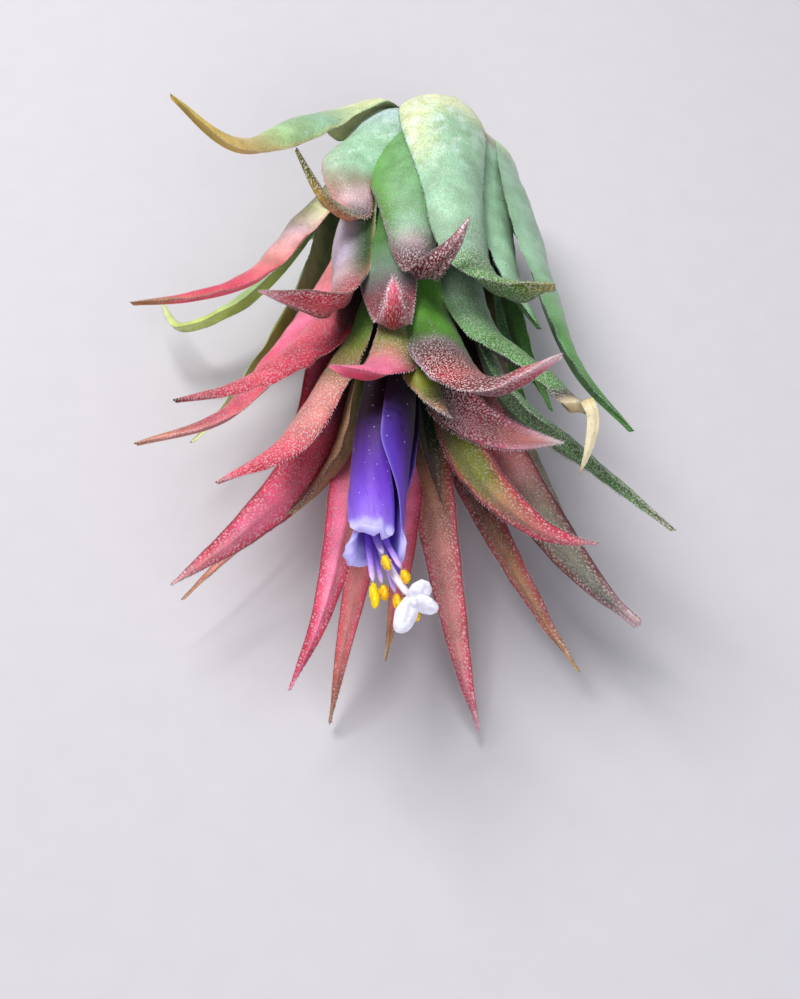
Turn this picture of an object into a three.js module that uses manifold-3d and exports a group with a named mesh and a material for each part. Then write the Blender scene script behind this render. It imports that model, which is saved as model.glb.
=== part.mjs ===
// A small air plant in bloom, lying on its side: a bulb of wrapped leaf sheaths, some forty
// arching leaves in seven rows, and one tubular flower of three petals, six stamens and a pistil.
// Units are millimetres and +Z is up. The origin is the spot under the bulb that it rests on.
//
// The plant is built upright in its own frame, with the growth axis along +Z, and a group lays it
// down. A place on the plant is a station [along, out, azimuth]: millimetres along the axis from
// the base, millimetres out from the axis, and degrees round it, where 0 is the upper side of the
// lying plant and 90 is its right side, seen with the flower towards the viewer.

import * as THREE from 'three';
import { mergeVertices } from 'three/addons/utils/BufferGeometryUtils.js';
import Module from 'manifold-3d';

const wasm = await Module();
wasm.setup();

// Driving dimensions of the bulb
const BULB_RADIUS = 10.9;        // outer row of sheaths at the widest place
const BULB_MIDDLE = 8.5;         // widest place, along the axis
const BULB_DEPTH = 9.4;          // from the widest place back to the base
const SHEATH_THICKNESS = 0.8;
const ROW_STEP = 1.1;            // each row lies this much inside the one before
const BASE_STEP = 0.9;           // and starts this much further along the stem
const STEM_RADIUS = 2.0;
const GAP = 0.3;                 // between pieces that touch

// Driving dimensions of the leaves
const LEAF_THICKNESS = 1.15;     // down the middle, where the blade is thickest
const TIP_WIDTH = 0.3;
const TAPER = 2.4;               // power by which a blade narrows to its tip
const OPEN = 0.22;               // share of a blade by which its sheath has narrowed to it
const FOLD = 55;                 // degrees that a blade folds to each side of its midline
const WIDEST_SHEATH = 30;        // degrees to each side
const SHEATH_FILL = 0.48;        // share of the space to the next leaf that a sheath takes
const SHEATH_RINGS = 5;
const BLADE_RINGS = 9;
const ACROSS = [-1, -0.58, 0, 0.58, 1];

// How the plant lies
const TILT = 11;                 // degrees that the axis rises towards the flower
const HEADING = 5.5;             // degrees that it turns to the viewer's left
const LOW_SPOT = [6.55, 10.68];  // along and out, where the bulb meets the surface
const REST_CUT = 0.2;            // flat worn into that spot

// Driving dimensions of the stem and the flower
const STEM_TOP = 19.8;
// Each root stub's azimuth, how far out it ends and how far it stands off the foot of the stem
const ROOT_STUBS = [[20, 1.5, 1.1], [95, 1.8, 0.8], [165, 1.4, 1.5], [230, 1.9, 0.9], [300, 1.6, 1.2]];
const FLOWER_LEAN = 0.7;         // sideways at the mouth of the tube
const LIP_START = 58.6;
const LIP_ROUNDING = 0.06;       // share of its length by which a petal's corners fall short
const PETAL_AZIMUTHS = [300, 60, 180];
const PETAL_THICKNESS = 0.6;
const PETAL_HALF = 66;           // degrees to each side, so that the petals overlap
const PETAL_LEAN = 0.45;         // how far one edge is raised and the other sunk
const PETAL_TWIST = 60;          // degrees, all of it near the mouth
const PETAL_TWIST_START = 48.5;
const PETAL_FLARES = [1, 0.45, 0.8];   // how far each lip turns out
const PETAL_PROFILE = [          // along and out, from the foot to the edge of the lip
  [20.1, 2.1], [30, 2], [38, 2.25], [44, 2.6], [49, 2.55], [54, 2.25], [58.2, 2.15], [59.8, 2.6], [60, 3.3],
];
const PETAL_RINGS = 14;
const THREAD_STEPS = [STEM_TOP + GAP, 38, 52, 57.8];   // along, where stamens and style run straight
const STAMEN_RING = 0.7;
// Each stamen's place round the style, where its filament ends (right, up, along), anther half length
const STAMENS = [
  { azimuth: 30, end: [3.3, 0.5, 62.4], anther: 0.7 },
  { azimuth: 90, end: [4.3, -1.9, 64], anther: 0.7 },
  { azimuth: 150, end: [2.9, -1.3, 63.5], anther: 0.9 },
  { azimuth: 210, end: [1.7, -1.6, 62.4], anther: 0.7 },
  { azimuth: 270, end: [1, -0.8, 63], anther: 1.2 },
  { azimuth: 330, end: [1.7, 0.9, 61.4], anther: 0.8 },
];
const STYLE_BEND = [2.3, -0.1, 61.8];
const STIGMA = [4.3, -0.3, 64.6];
const STIGMA_LOBES = [[5.2, 0.9, 63.8], [5.9, -0.6, 65.4], [3.4, -1.6, 66.6]];
const POD_SIDES = 6;             // round an anther or a lobe of the stigma
const ROD_SIDES = 5;             // round a filament, the style or a root
const DEAD_TIP_RINGS = 6;
const DEAD_TIP_WIDTH = 1.36;
const DEAD_TIP_FACE = new THREE.Vector3(0.1, 0.85, 0.5);   // the way its broad side looks
const DEAD_TIP_CURL = 0.9;       // radians to each side

// Colours
const PALE_GREEN = 0x9db98a;
const GREEN = 0x6f9158;
const OLIVE = 0x86854c;
const CORAL = 0xd8506a;
const ROSE = 0xb4626a;
const VIOLET = 0x5a43b8;
const FILAMENT = 0x7d6ad0;
const WHITE = 0xf2eff4;
const BARK = 0x6d5a45;

// The leaves, row by row from the outside. Each has the azimuth of its sheath, its blade's width,
// the stations where it is still wrapped in the bulb (neck), the free ones (blade), and where they
// differ from the usual how far the blade folds to each side of its midline (fold), the power by
// which it narrows (taper), the width of its tip (end), the share of the blade by which the sheath
// has narrowed to it (open), and the degrees that the blade rolls about its midline (roll), also
// those at its tip where they are others (endRoll).
const ROWS = [
  ['outer', [
    {
      at: 316, width: 6.4, roll: 52, open: 0.15, colour: OLIVE,
      neck: [[3.6, 10.2, 314]],
      blade: [[9, 14.4, 308], [18, 20.5, 303], [17.5, 28, 303]],
    },
    {
      at: 14, width: 6.4, end: 1.2, fold: 60, taper: 5, roll: -10, endRoll: 4, open: 0.42, colour: PALE_GREEN,
      blade: [[21, 10.3, 25], [28.5, 9.9, 41], [33.3, 12.2, 50], [36.5, 17.2, 54]],
    },
    {
      at: 80, width: 6.2, roll: -15, open: 0.5, colour: GREEN,
      blade: [[14, 12.4, 77], [27, 14.7, 75], [41, 18, 75], [49.5, 22, 75]],
    },
    {
      at: 134, width: 5.4, fold: 50, colour: GREEN,
      blade: [[16, 12.4, 132], [26, 14.6, 129], [34, 18, 127]],
    },
    {
      at: 187, width: 5.4, fold: 45, colour: GREEN,
      blade: [[18, 11.3, 184], [28, 12.6, 182], [38, 15, 181]],
    },
    {
      at: 240, width: 5.0, fold: 50, roll: 20, colour: PALE_GREEN,
      blade: [[14, 12.4, 241], [26, 15, 243], [36, 19, 244], [40.5, 21, 246]],
    },
  ]],
  ['second', [
    {
      at: 328, width: 6.2, taper: 1.6, roll: 38, open: 0.5, colour: PALE_GREEN,
      blade: [[17, 10.3, 321], [21.5, 8.6, 321], [23.6, 11.8, 320], [21, 16.6, 319]],
    },
    {
      at: 55, width: 7.4, fold: 55, roll: -20, open: 0.6, colour: PALE_GREEN,
      blade: [[20, 10.4, 66], [28, 11.8, 70], [35, 14, 73]],
    },
    {
      at: 106, width: 5.2, fold: 50, colour: GREEN,
      blade: [[16, 11.2, 108], [27, 13.5, 110], [35, 16.5, 111]],
    },
    {
      at: 158, width: 5.2, fold: 50, colour: GREEN,
      blade: [[16, 12, 153], [25, 15.5, 147], [32, 18.4, 145]],
    },
    {
      at: 212, width: 5.2, fold: 50, colour: GREEN,
      blade: [[16, 12, 212], [25, 15.5, 213], [32, 18.4, 215]],
    },
    {
      at: 266, width: 5.0, roll: 40, colour: PALE_GREEN,
      blade: [[12, 12, 260], [20, 17.6, 252], [24, 24, 252], [19, 28, 252]],
    },
  ]],
  ['third', [
    {
      at: 355, width: 6.4, taper: 2.2, open: 0.35, colour: ROSE,
      neck: [[16.5, 8.9, 355]],
      blade: [[25, 8, 4], [31.3, 7.7, 17], [31.2, 10.8, 25], [29.5, 13.4, 27]],
    },
    {
      at: 66, width: 6.6, end: 3.4, fold: 60, roll: -35, open: 0.35, colour: GREEN,
      neck: [[18, 7.7, 66]],
      blade: [[25, 7, 67], [34, 9.4, 69], [42, 15, 70], [47, 17.9, 70]],
      deadTip: [[46.9, 18.3, 69], [48.2, 18.7, 72], [49.8, 18.1, 78], [51.4, 17.2, 84]],
    },
    {
      at: 122, width: 4.8, colour: OLIVE,
      neck: [[18, 9.2, 122]],
      blade: [[28, 11.6, 122], [38, 16, 122], [45, 20.8, 122]],
    },
    {
      at: 180, width: 5.0, fold: 45, colour: GREEN,
      neck: [[20, 9, 180]],
      blade: [[32, 9.8, 180], [44, 12, 181]],
    },
    {
      at: 232, width: 4.0, colour: CORAL,
      neck: [[20, 9.2, 229]],
      blade: [[32, 11, 224], [42, 13.5, 219], [48, 17.3, 222], [55.4, 22.5, 230]],
    },
    {
      at: 288, width: 5.6, roll: 50, open: 0.35, colour: CORAL,
      blade: [[19, 12.2, 281], [27.5, 15.1, 280], [32.6, 19.9, 280], [35.8, 24.9, 280]],
    },
  ]],
  ['fourth', [
    {
      at: 308, width: 6.2, fold: 65, taper: 3.2, roll: 20, endRoll: -12, open: 0.35, colour: ROSE,
      neck: [[16, 7.6, 308]],
      blade: [[21, 7.8, 308], [28, 7.3, 309], [33.6, 7.9, 310], [36.5, 11.4, 309], [39, 15, 308]],
    },
    {
      at: 40, width: 8.2, fold: 52, taper: 3.2, roll: -28, endRoll: -42, colour: ROSE,
      neck: [[18, 6.4, 44], [29, 5, 49]],
      blade: [[38.6, 6.9, 50], [46.2, 11.8, 50], [48.1, 19.2, 50]],
    },
    {
      at: 88, width: 5.8, fold: 60, roll: -15, colour: GREEN,
      neck: [[20, 7.4, 88]],
      blade: [[30, 8.6, 89], [39, 11.4, 90], [47, 18.5, 90], [55, 25.4, 90]],
    },
    {
      at: 130, width: 5.0, fold: 60, colour: ROSE,
      neck: [[20, 7.4, 126]],
      blade: [[30, 8.9, 121], [41.5, 12.6, 118], [47.3, 17.2, 118], [52.7, 23.2, 118], [54.8, 27.5, 118]],
    },
    {
      at: 180, width: 4.8, colour: CORAL,
      neck: [[22, 7.6, 183]],
      blade: [[40, 9.4, 186], [52, 11.8, 187], [58, 15.2, 188], [63.3, 20.6, 188]],
    },
    {
      at: 222, width: 6.6, fold: 55, roll: -20, colour: CORAL,
      neck: [[20, 7.4, 230]],
      blade: [[33, 7.8, 238], [46.5, 9, 240], [52.2, 13.5, 240], [57, 20.5, 240]],
    },
    {
      at: 264, width: 6.6, roll: 62, colour: CORAL,
      neck: [[18, 7.8, 263]],
      blade: [[28.5, 10, 262], [36, 12.6, 262], [42.5, 15.5, 262], [46.6, 22.8, 262]],
    },
  ]],
  ['fifth', [
    {
      at: 336, width: 6.4, fold: 38, taper: 3.6, colour: ROSE,
      neck: [[18, 6.2, 338]],
      blade: [[25.5, 5.9, 340], [32, 5.6, 350], [36.6, 5.6, 0], [36.6, 7.6, 0], [34.6, 8.8, 358]],
    },
    {
      at: 64, width: 7.2, fold: 48, taper: 2.7, roll: 28, open: 0.1, colour: ROSE,
      neck: [[20, 5.6, 69], [30, 4.3, 79]],
      blade: [[38.5, 5, 77], [45.2, 8.7, 75], [48.4, 12.4, 75], [50, 16.3, 75]],
    },
    {
      at: 104, width: 6.4, fold: 50, roll: 18, colour: OLIVE,
      neck: [[20, 5.9, 105], [32, 5.8, 103]],
      blade: [[44.6, 7.9, 101], [51, 11.8, 100], [54, 16, 100], [54, 19.7, 100]],
    },
    {
      at: 146, width: 4.8, fold: 60, colour: ROSE,
      neck: [[20, 6.1, 141], [31, 7.2, 135]],
      blade: [[42.7, 10.9, 131], [50, 16.4, 130], [54.7, 21.8, 131], [57.6, 25.6, 131]],
    },
    {
      at: 186, width: 4.4, colour: CORAL,
      neck: [[20, 6.2, 178], [30, 7.2, 170]],
      blade: [[45, 9.5, 165], [54, 11.1, 167], [61.8, 12.5, 171]],
    },
    {
      at: 228, width: 5.4, colour: CORAL,
      neck: [[20, 6.1, 220], [31, 6.4, 212]],
      blade: [[43, 7.3, 208], [53.5, 6.9, 208], [62, 8, 208], [67, 12, 208]],
    },
    {
      at: 282, width: 6.8, fold: 60, roll: 64, colour: CORAL,
      neck: [[20, 6, 282]],
      blade: [[30.2, 6.4, 282], [38.2, 9.6, 282], [43.8, 13.3, 282], [48, 18.4, 282]],
    },
  ]],
  ['inner', [
    {
      at: 156, width: 5.4, fold: 45, colour: ROSE,
      neck: [[20, 4.9, 153], [30, 5.8, 150]],
      blade: [[41, 8.8, 150], [50.5, 12.9, 150], [58.3, 18, 151], [63, 22.8, 152]],
    },
    {
      at: 224, width: 4.8, fold: 50, roll: 15, endRoll: 60, colour: OLIVE,
      neck: [[20, 4.8, 228], [30, 4.1, 230]],
      blade: [[40, 4.8, 234], [46.6, 6.6, 232], [51.5, 11.3, 232]],
    },
    {
      at: 290, width: 6.6, roll: 42, endRoll: 76, colour: ROSE,
      neck: [[20, 4.8, 282], [30, 4.2, 276]],
      blade: [[40.3, 5.6, 273], [48.2, 8, 272], [54.2, 13.4, 272]],
    },
    {
      at: 20, width: 3.8, fold: 50, colour: OLIVE,
      neck: [[20, 4.6, 22]],
      blade: [[27, 3.6, 26], [31, 3.5, 30]],
    },
  ]],
  ['heart', [
    {
      at: 340, width: 5.4, end: 0.6, fold: 52, taper: 5, colour: ROSE,
      neck: [[22, 3.8, 350], [31, 4, 9]],
      blade: [[36.5, 4.1, 14], [40.6, 4.6, 0], [43.8, 6, 340], [45.2, 8.2, 324]],
    },
    {
      at: 62, width: 3.8, colour: OLIVE,
      neck: [[22, 3.8, 55], [32, 3.8, 48]],
      blade: [[38.5, 3.9, 43], [43.5, 5.2, 53], [47.5, 7.1, 59]],
    },
    {
      at: 150, width: 3.6, fold: 50, colour: OLIVE,
      neck: [[22, 3.6, 142], [32, 4.2, 138]],
      blade: [[42.5, 6.4, 136], [48.5, 8.3, 136]],
    },
  ]],
];

const radians = THREE.MathUtils.degToRad;
const lerp = THREE.MathUtils.lerp;
const smooth = THREE.MathUtils.smoothstep;

function station([along, out, azimuth]) {
  const turn = radians(azimuth);
  return new THREE.Vector3(out * Math.sin(turn), out * Math.cos(turn), along);
}

// Solids

// A closed solid from a stack of rings with the same number of points, capped at both ends.
function ringSolid(rings) {
  const size = rings[0].length;
  const positions = rings.flat().flatMap((point) => point.toArray());
  const index = [];
  for (let row = 0; row + 1 < rings.length; row++) {
    for (let i = 0; i < size; i++) {
      const a = row * size + i;
      const b = row * size + (i + 1) % size;
      const c = a + size;
      const d = b + size;
      // the diagonal is mirrored from one face to the other, so that both bend alike
      if (i < size / 2) index.push(a, d, b, a, c, d);
      else index.push(a, c, b, b, c, d);
    }
  }
  const last = (rings.length - 1) * size;
  // each cap zigzags between the two faces
  for (let low = 0, high = size; high - low > 2; ) {
    index.push(low, low + 1, high - 1);
    index.push(last + low, last + high - 1, last + low + 1);
    low += 1;
    if (high - low > 2) {
      index.push(low, high - 2, high - 1);
      index.push(last + low, last + high - 1, last + high - 2);
      high -= 1;
    }
  }
  const geometry = new THREE.BufferGeometry();
  geometry.setAttribute('position', new THREE.Float32BufferAttribute(positions, 3));
  geometry.setIndex(index);
  return toSolid(geometry);
}

function toSolid(geometry) {
  const bare = geometry.clone();
  bare.deleteAttribute('normal');
  bare.deleteAttribute('uv');
  const merged = mergeVertices(bare, 1e-4);
  const corners = merged.index.array;
  const triangles = [];
  for (let i = 0; i < corners.length; i += 3) {
    const [a, b, c] = corners.slice(i, i + 3);
    if (a !== b && b !== c && c !== a) triangles.push(a, b, c);
  }
  const mesh = new wasm.Mesh({
    numProp: 3,
    vertProperties: new Float32Array(merged.attributes.position.array),
    triVerts: new Uint32Array(triangles),
  });
  return new wasm.Manifold(mesh);
}

function toGeometry(solid) {
  const mesh = solid.getMesh();
  const geometry = new THREE.BufferGeometry();
  geometry.setAttribute('position', new THREE.BufferAttribute(mesh.vertProperties, 3));
  geometry.setIndex(new THREE.BufferAttribute(mesh.triVerts, 1));
  return geometry;
}

// The largest piece of a cut solid, without the scraps.
function largest(solid) {
  return solid.decompose().reduce((a, b) => (b.volume() > a.volume() ? b : a));
}

// Leaves

// The curve down a leaf's outer face: up the bulb on its own row's ellipse, then its stations.
function leafCurve({ at, neck = [], blade }, row) {
  const radius = BULB_RADIUS - ROW_STEP * row;
  const depth = BULB_DEPTH - BASE_STEP * row;
  const first = Math.asin((STEM_RADIUS + SHEATH_THICKNESS + GAP) / radius);
  const last = neck[0]?.[0] < BULB_MIDDLE ? Math.PI / 4 : Math.PI / 2;
  const points = [];
  const steps = 4;
  for (let i = 0; i <= steps; i++) {
    const turn = lerp(first, last, i / steps);
    points.push(station([BULB_MIDDLE - depth * Math.cos(turn), radius * Math.sin(turn), at]));
  }
  points.push(...neck.map(station), ...blade.map(station));
  const curve = new THREE.CatmullRomCurve3(points, false, 'centripetal');
  // share of the length at which the blade comes free
  const free = (points.length - 1 - blade.length) / (points.length - 1);
  const lengths = curve.getLengths(400);
  return { curve, free: lengths[Math.round(free * 400)] / lengths[400] };
}

// Points round a leaf's section: across the outer face, then back across the inner one. `swell`
// grows the section on every side, for the space that a neighbour keeps clear of.
function leafRing(centre, side, inward, section, swell) {
  const { halfWidth, halfAngle, thickness } = section;
  const reach = halfWidth + swell;
  const bend = Math.max(halfAngle * reach / halfWidth, 0.05);
  const curl = reach / bend;
  const point = (v, depth) => {
    const turn = bend * v;
    return centre.clone()
      .addScaledVector(side, (curl - depth) * Math.sin(turn))
      .addScaledVector(inward, curl - (curl - depth) * Math.cos(turn));
  };
  const outer = ACROSS.map((v) => point(v, -swell));
  const inner = ACROSS.map((v) => point(v, swell + thickness * (1 - v * v)));
  return swell ? [...outer, ...inner.reverse()] : [...outer, ...inner.slice(1, -1).reverse()];
}

function leafSolid(leaf, row, halfSheath, swell = 0) {
  const { curve, free } = leafCurve(leaf, row);
  const shares = [];
  for (let i = 0; i < SHEATH_RINGS; i++) shares.push(free * i / SHEATH_RINGS);
  for (let i = 0; i <= BLADE_RINGS; i++) shares.push(lerp(free, 1, i / BLADE_RINGS));
  const rings = shares.map((share) => {
    const centre = curve.getPointAt(share);
    const along = curve.getTangentAt(share);
    const out = Math.hypot(centre.x, centre.y);
    const side = new THREE.Vector3(centre.y, -centre.x, 0).divideScalar(out);
    side.addScaledVector(along, -side.dot(along)).normalize();
    const inward = new THREE.Vector3().crossVectors(side, along);
    const blade = Math.max(0, (share - free) / (1 - free));
    const firstRoll = leaf.roll ?? 0;
    const setting = firstRoll * smooth(blade, -0.1, 0.35);
    const roll = radians(lerp(setting, leaf.endRoll ?? firstRoll, smooth(blade, 0.35, 0.8)));
    side.applyAxisAngle(along, -roll);
    inward.applyAxisAngle(along, -roll);
    const opening = smooth(share, free * 0.85, free + (leaf.open ?? OPEN) * (1 - free));
    const taper = Math.max(1 - blade ** (leaf.taper ?? TAPER), 0);
    const bladeHalf = Math.max(leaf.width * taper, leaf.end ?? TIP_WIDTH) / 2;
    const halfWidth = lerp(out * halfSheath, bladeHalf, opening);
    const folding = smooth(blade, 0, 0.5);
    const halfAngle = lerp(Math.min(halfWidth / out, 1), radians(leaf.fold ?? FOLD), folding);
    const body = lerp(SHEATH_THICKNESS, LEAF_THICKNESS, smooth(blade, 0, 0.25));
    const thickness = Math.min(body, 0.35 + halfWidth * 0.55);
    if (share === 1) centre.addScaledVector(along, swell);
    return leafRing(centre, side, inward, { halfWidth, halfAngle, thickness }, swell);
  });
  return ringSolid(rings);
}

// Room to each side of a sheath, in radians, from its neighbours in the same row.
function halfSheath(leaf, leaves) {
  const apart = leaves.filter((other) => other !== leaf)
    .map((other) => Math.abs(THREE.MathUtils.euclideanModulo(other.at - leaf.at + 180, 360) - 180));
  return radians(Math.min(WIDEST_SHEATH, SHEATH_FILL * Math.min(...apart)));
}

const rosette = new THREE.Group();
rosette.rotation.set(radians(90 - TILT), 0, radians(-HEADING), 'ZXY');
rosette.updateMatrix();
const lowSpot = station([...LOW_SPOT, 180]).applyMatrix4(rosette.matrix);
rosette.position.set(-lowSpot.x, -lowSpot.y, -lowSpot.z - REST_CUT);
rosette.updateMatrix();

// The surface that the plant lies on, as a block in the plant's own frame.
const ground = (() => {
  const block = new THREE.BoxGeometry(300, 300, 50).translate(0, 0, -25);
  return toSolid(block.applyMatrix4(rosette.matrix.clone().invert()));
})();

function addPiece(name, solid, colour, roughness = 0.7) {
  const material = new THREE.MeshStandardMaterial({ color: colour, roughness, metalness: 0 });
  const mesh = new THREE.Mesh(toGeometry(largest(solid)), material);
  mesh.name = name;
  rosette.add(mesh);
}

// The papery dead tip that hangs from a leaf's torn end.
function deadTipSolid(path) {
  const curve = new THREE.CatmullRomCurve3(path.map(station), false, 'centripetal');
  const rings = [];
  for (let i = 0; i <= DEAD_TIP_RINGS; i++) {
    const share = i / DEAD_TIP_RINGS;
    const along = curve.getTangentAt(share);
    const side = new THREE.Vector3().crossVectors(along, DEAD_TIP_FACE).normalize();
    const inward = new THREE.Vector3().crossVectors(side, along);
    const halfWidth = Math.max(DEAD_TIP_WIDTH / 2 * (1 - share ** 2.2), TIP_WIDTH / 2);
    const section = { halfWidth, halfAngle: DEAD_TIP_CURL, thickness: 0.6 };
    rings.push(leafRing(curve.getPointAt(share), side, inward, section, 0));
  }
  return ringSolid(rings);
}

// A round rod down a curve through points, whose radius runs evenly through the given ones.
function rodSolid(points, radii, steps) {
  const curve = new THREE.CatmullRomCurve3(points, false, 'centripetal');
  const { normals, binormals } = curve.computeFrenetFrames(steps, false);
  const rings = [];
  for (let i = 0; i <= steps; i++) {
    const place = i / steps * (radii.length - 1);
    const low = Math.min(Math.floor(place), radii.length - 2);
    const radius = lerp(radii[low], radii[low + 1], place - low);
    const centre = curve.getPointAt(i / steps);
    rings.push(Array.from({ length: ROD_SIDES }, (_, j) => {
      const turn = -2 * Math.PI * j / ROD_SIDES;
      return centre.clone()
        .addScaledVector(normals[i], radius * Math.cos(turn))
        .addScaledVector(binormals[i], radius * Math.sin(turn));
    }));
  }
  return ringSolid(rings);
}

// A smooth pod of the given half sizes, its long side turned towards a direction.
function podSolid(centre, direction, [x, y, z]) {
  const pod = new THREE.SphereGeometry(1, POD_SIDES, POD_SIDES - 1).rotateX(Math.PI / 2).scale(x, y, z);
  const upright = new THREE.Vector3(0, 0, 1);
  pod.applyQuaternion(new THREE.Quaternion().setFromUnitVectors(upright, direction.clone().normalize()));
  return toSolid(pod.translate(...centre.toArray()));
}

// Stem

// The short stem that carries every sheath, from its dried foot with the stubs of a few roots to
// the foot of the flower.
function stemSolid() {
  const outline = [
    [0, -2.4], [1.2, -2.4], [1.9, -1.7], [STEM_RADIUS, -0.4], [STEM_RADIUS, 8],
    [1.6, 14], [1.2, STEM_TOP], [0, STEM_TOP],
  ].map(([out, along]) => new THREE.Vector2(out, along));
  let stem = toSolid(new THREE.LatheGeometry(outline, 12).rotateX(Math.PI / 2));
  for (const [azimuth, out, length] of ROOT_STUBS) {
    const side = station([0, 1, azimuth]);
    const points = [[0.5, -1.2], [out * 0.6, -2.4], [out, -2.4 - length]].map(([r, along]) => (
      side.clone().multiplyScalar(r).setZ(along)));
    stem = stem.add(rodSolid(points, [0.45, 0.35, 0.22], 3));
  }
  return stem;
}

// Flower

// The middle of the flower's tube, which leans a little to the right as it comes out.
function flowerMiddle(along) {
  const share = (along - STEM_TOP) / (LIP_START - STEM_TOP);
  return new THREE.Vector3(FLOWER_LEAN * share ** 2, 0, along);
}

// A petal is a strip of the tube's wall that twists near the mouth, with its left edge raised over
// one neighbour and its right edge sunk under the other. Its end turns out into a rounded lip.
function petalSolid(azimuth, flare) {
  const profile = new THREE.SplineCurve(PETAL_PROFILE.map((place) => new THREE.Vector2(...place)));
  const point = (share, v, depth) => {
    const reach = share * (1 - LIP_ROUNDING * v * v);
    const { x: along, y: reached } = profile.getPointAt(reach);
    const [mouthAlong, mouth] = PETAL_PROFILE[6];
    const radius = along > mouthAlong ? lerp(mouth, reached, flare) : reached;
    const tangent = profile.getTangentAt(reach);
    const out = radius - tangent.x * depth - PETAL_LEAN * v;
    const twist = PETAL_TWIST * smooth(along, PETAL_TWIST_START, LIP_START);
    const place = station([0, out, azimuth + twist + PETAL_HALF * v]);
    return place.add(flowerMiddle(along + tangent.y * depth));
  };
  const rings = Array.from({ length: PETAL_RINGS + 1 }, (_, i) => {
    const share = 1 - (1 - i / PETAL_RINGS) ** 1.5;
    const outer = ACROSS.map((v) => point(share, v, 0));
    const inner = ACROSS.map((v) => point(share, v, PETAL_THICKNESS));
    return [...outer, ...inner.reverse()];
  });
  return ringSolid(rings);
}

function stamenSolid({ azimuth, end, anther }) {
  const offset = station([0, STAMEN_RING, azimuth]);
  const tip = new THREE.Vector3(...end);
  const points = THREAD_STEPS.map((along) => flowerMiddle(along).add(offset));
  points.push(tip);
  const filament = rodSolid(points, [0.2, 0.2, 0.22, 0.27, 0.27], 8);
  const direction = tip.clone().sub(points.at(-2)).setLength(anther * 0.8);
  return filament.add(podSolid(tip.clone().add(direction), direction, [0.42, 0.42, anther]));
}

// A thread-like style that ends in three spreading lobes.
function pistilSolid() {
  const foot = THREAD_STEPS.map(flowerMiddle);
  const heart = new THREE.Vector3(...STIGMA);
  let pistil = rodSolid([...foot, new THREE.Vector3(...STYLE_BEND), heart], [0.2, 0.2, 0.22, 0.3, 0.35], 8);
  for (const lobe of STIGMA_LOBES) {
    const tip = new THREE.Vector3(...lobe);
    const reach = tip.clone().sub(heart);
    const middle = heart.clone().addScaledVector(reach, 0.5);
    pistil = pistil.add(podSolid(middle, reach, [0.95, 0.5, reach.length() * 0.62]));
  }
  return pistil;
}

const taken = [];
ROWS.forEach(([rowName, leaves], row) => {
  leaves.forEach((leaf, i) => {
    const half = halfSheath(leaf, leaves);
    let solid = leafSolid(leaf, row, half);
    if (leaf.deadTip) solid = solid.add(deadTipSolid(leaf.deadTip));
    for (const other of taken) solid = solid.subtract(other);
    solid = solid.subtract(ground);
    taken.push(leafSolid(leaf, row, half, GAP));
    addPiece(`leaf_${rowName}_${i + 1}`, solid, leaf.colour);
  });
});

addPiece('stem', stemSolid(), BARK, 0.9);
PETAL_AZIMUTHS.forEach((azimuth, i) => {
  addPiece(`petal_${i + 1}`, petalSolid(azimuth, PETAL_FLARES[i]), VIOLET, 0.5);
});
STAMENS.forEach((stamen, i) => addPiece(`stamen_${i + 1}`, stamenSolid(stamen), FILAMENT, 0.5));
addPiece('pistil', pistilSolid(), WHITE, 0.5);

const plant = new THREE.Group();
plant.add(rosette);
export default plant;
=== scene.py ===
"""A small air plant in bloom, lying on its side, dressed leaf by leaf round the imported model.

Places are in millimetres until they reach a mesh. A place on the plant is a station
(along, out, azimuth): along the axis from the base, out from the axis, and degrees round it,
where 0 is the upper side of the lying plant and 90 its right side, seen from the flower's end.
"""

import math
import random

import bmesh
import bpy
import numpy as np
from mathutils import Matrix, Vector


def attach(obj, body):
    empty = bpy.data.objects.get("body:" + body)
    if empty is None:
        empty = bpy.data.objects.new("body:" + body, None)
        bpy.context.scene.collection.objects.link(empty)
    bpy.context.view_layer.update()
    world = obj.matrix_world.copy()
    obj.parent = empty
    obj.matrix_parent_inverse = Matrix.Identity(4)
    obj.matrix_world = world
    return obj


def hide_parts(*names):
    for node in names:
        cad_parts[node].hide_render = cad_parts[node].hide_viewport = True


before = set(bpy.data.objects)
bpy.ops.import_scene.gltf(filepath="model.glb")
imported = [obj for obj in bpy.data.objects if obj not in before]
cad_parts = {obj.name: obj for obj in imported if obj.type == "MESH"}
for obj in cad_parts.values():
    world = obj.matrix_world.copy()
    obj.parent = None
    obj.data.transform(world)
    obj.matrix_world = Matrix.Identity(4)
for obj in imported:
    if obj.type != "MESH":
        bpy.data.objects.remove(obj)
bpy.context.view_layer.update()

MM = 0.001

# The bulb and the stem, as in the part's source
BULB_RADIUS = 10.9
BULB_MIDDLE = 8.5
BULB_DEPTH = 9.4
ROW_STEP = 1.1
BASE_STEP = 0.9
FIRST_OUT = 3.1             # where a sheath starts, out from the axis
SHEATH_THICKNESS = 0.8
WIDEST_SHEATH = 30.0
SHEATH_FILL = 0.48
LEAF_THICKNESS = 1.7
TILT = 11.0
HEADING = 5.5
LOW_SPOT = (6.55, 10.68, 180.0)
REST_CUT = 0.2
STEM_TOP = 19.8

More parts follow.
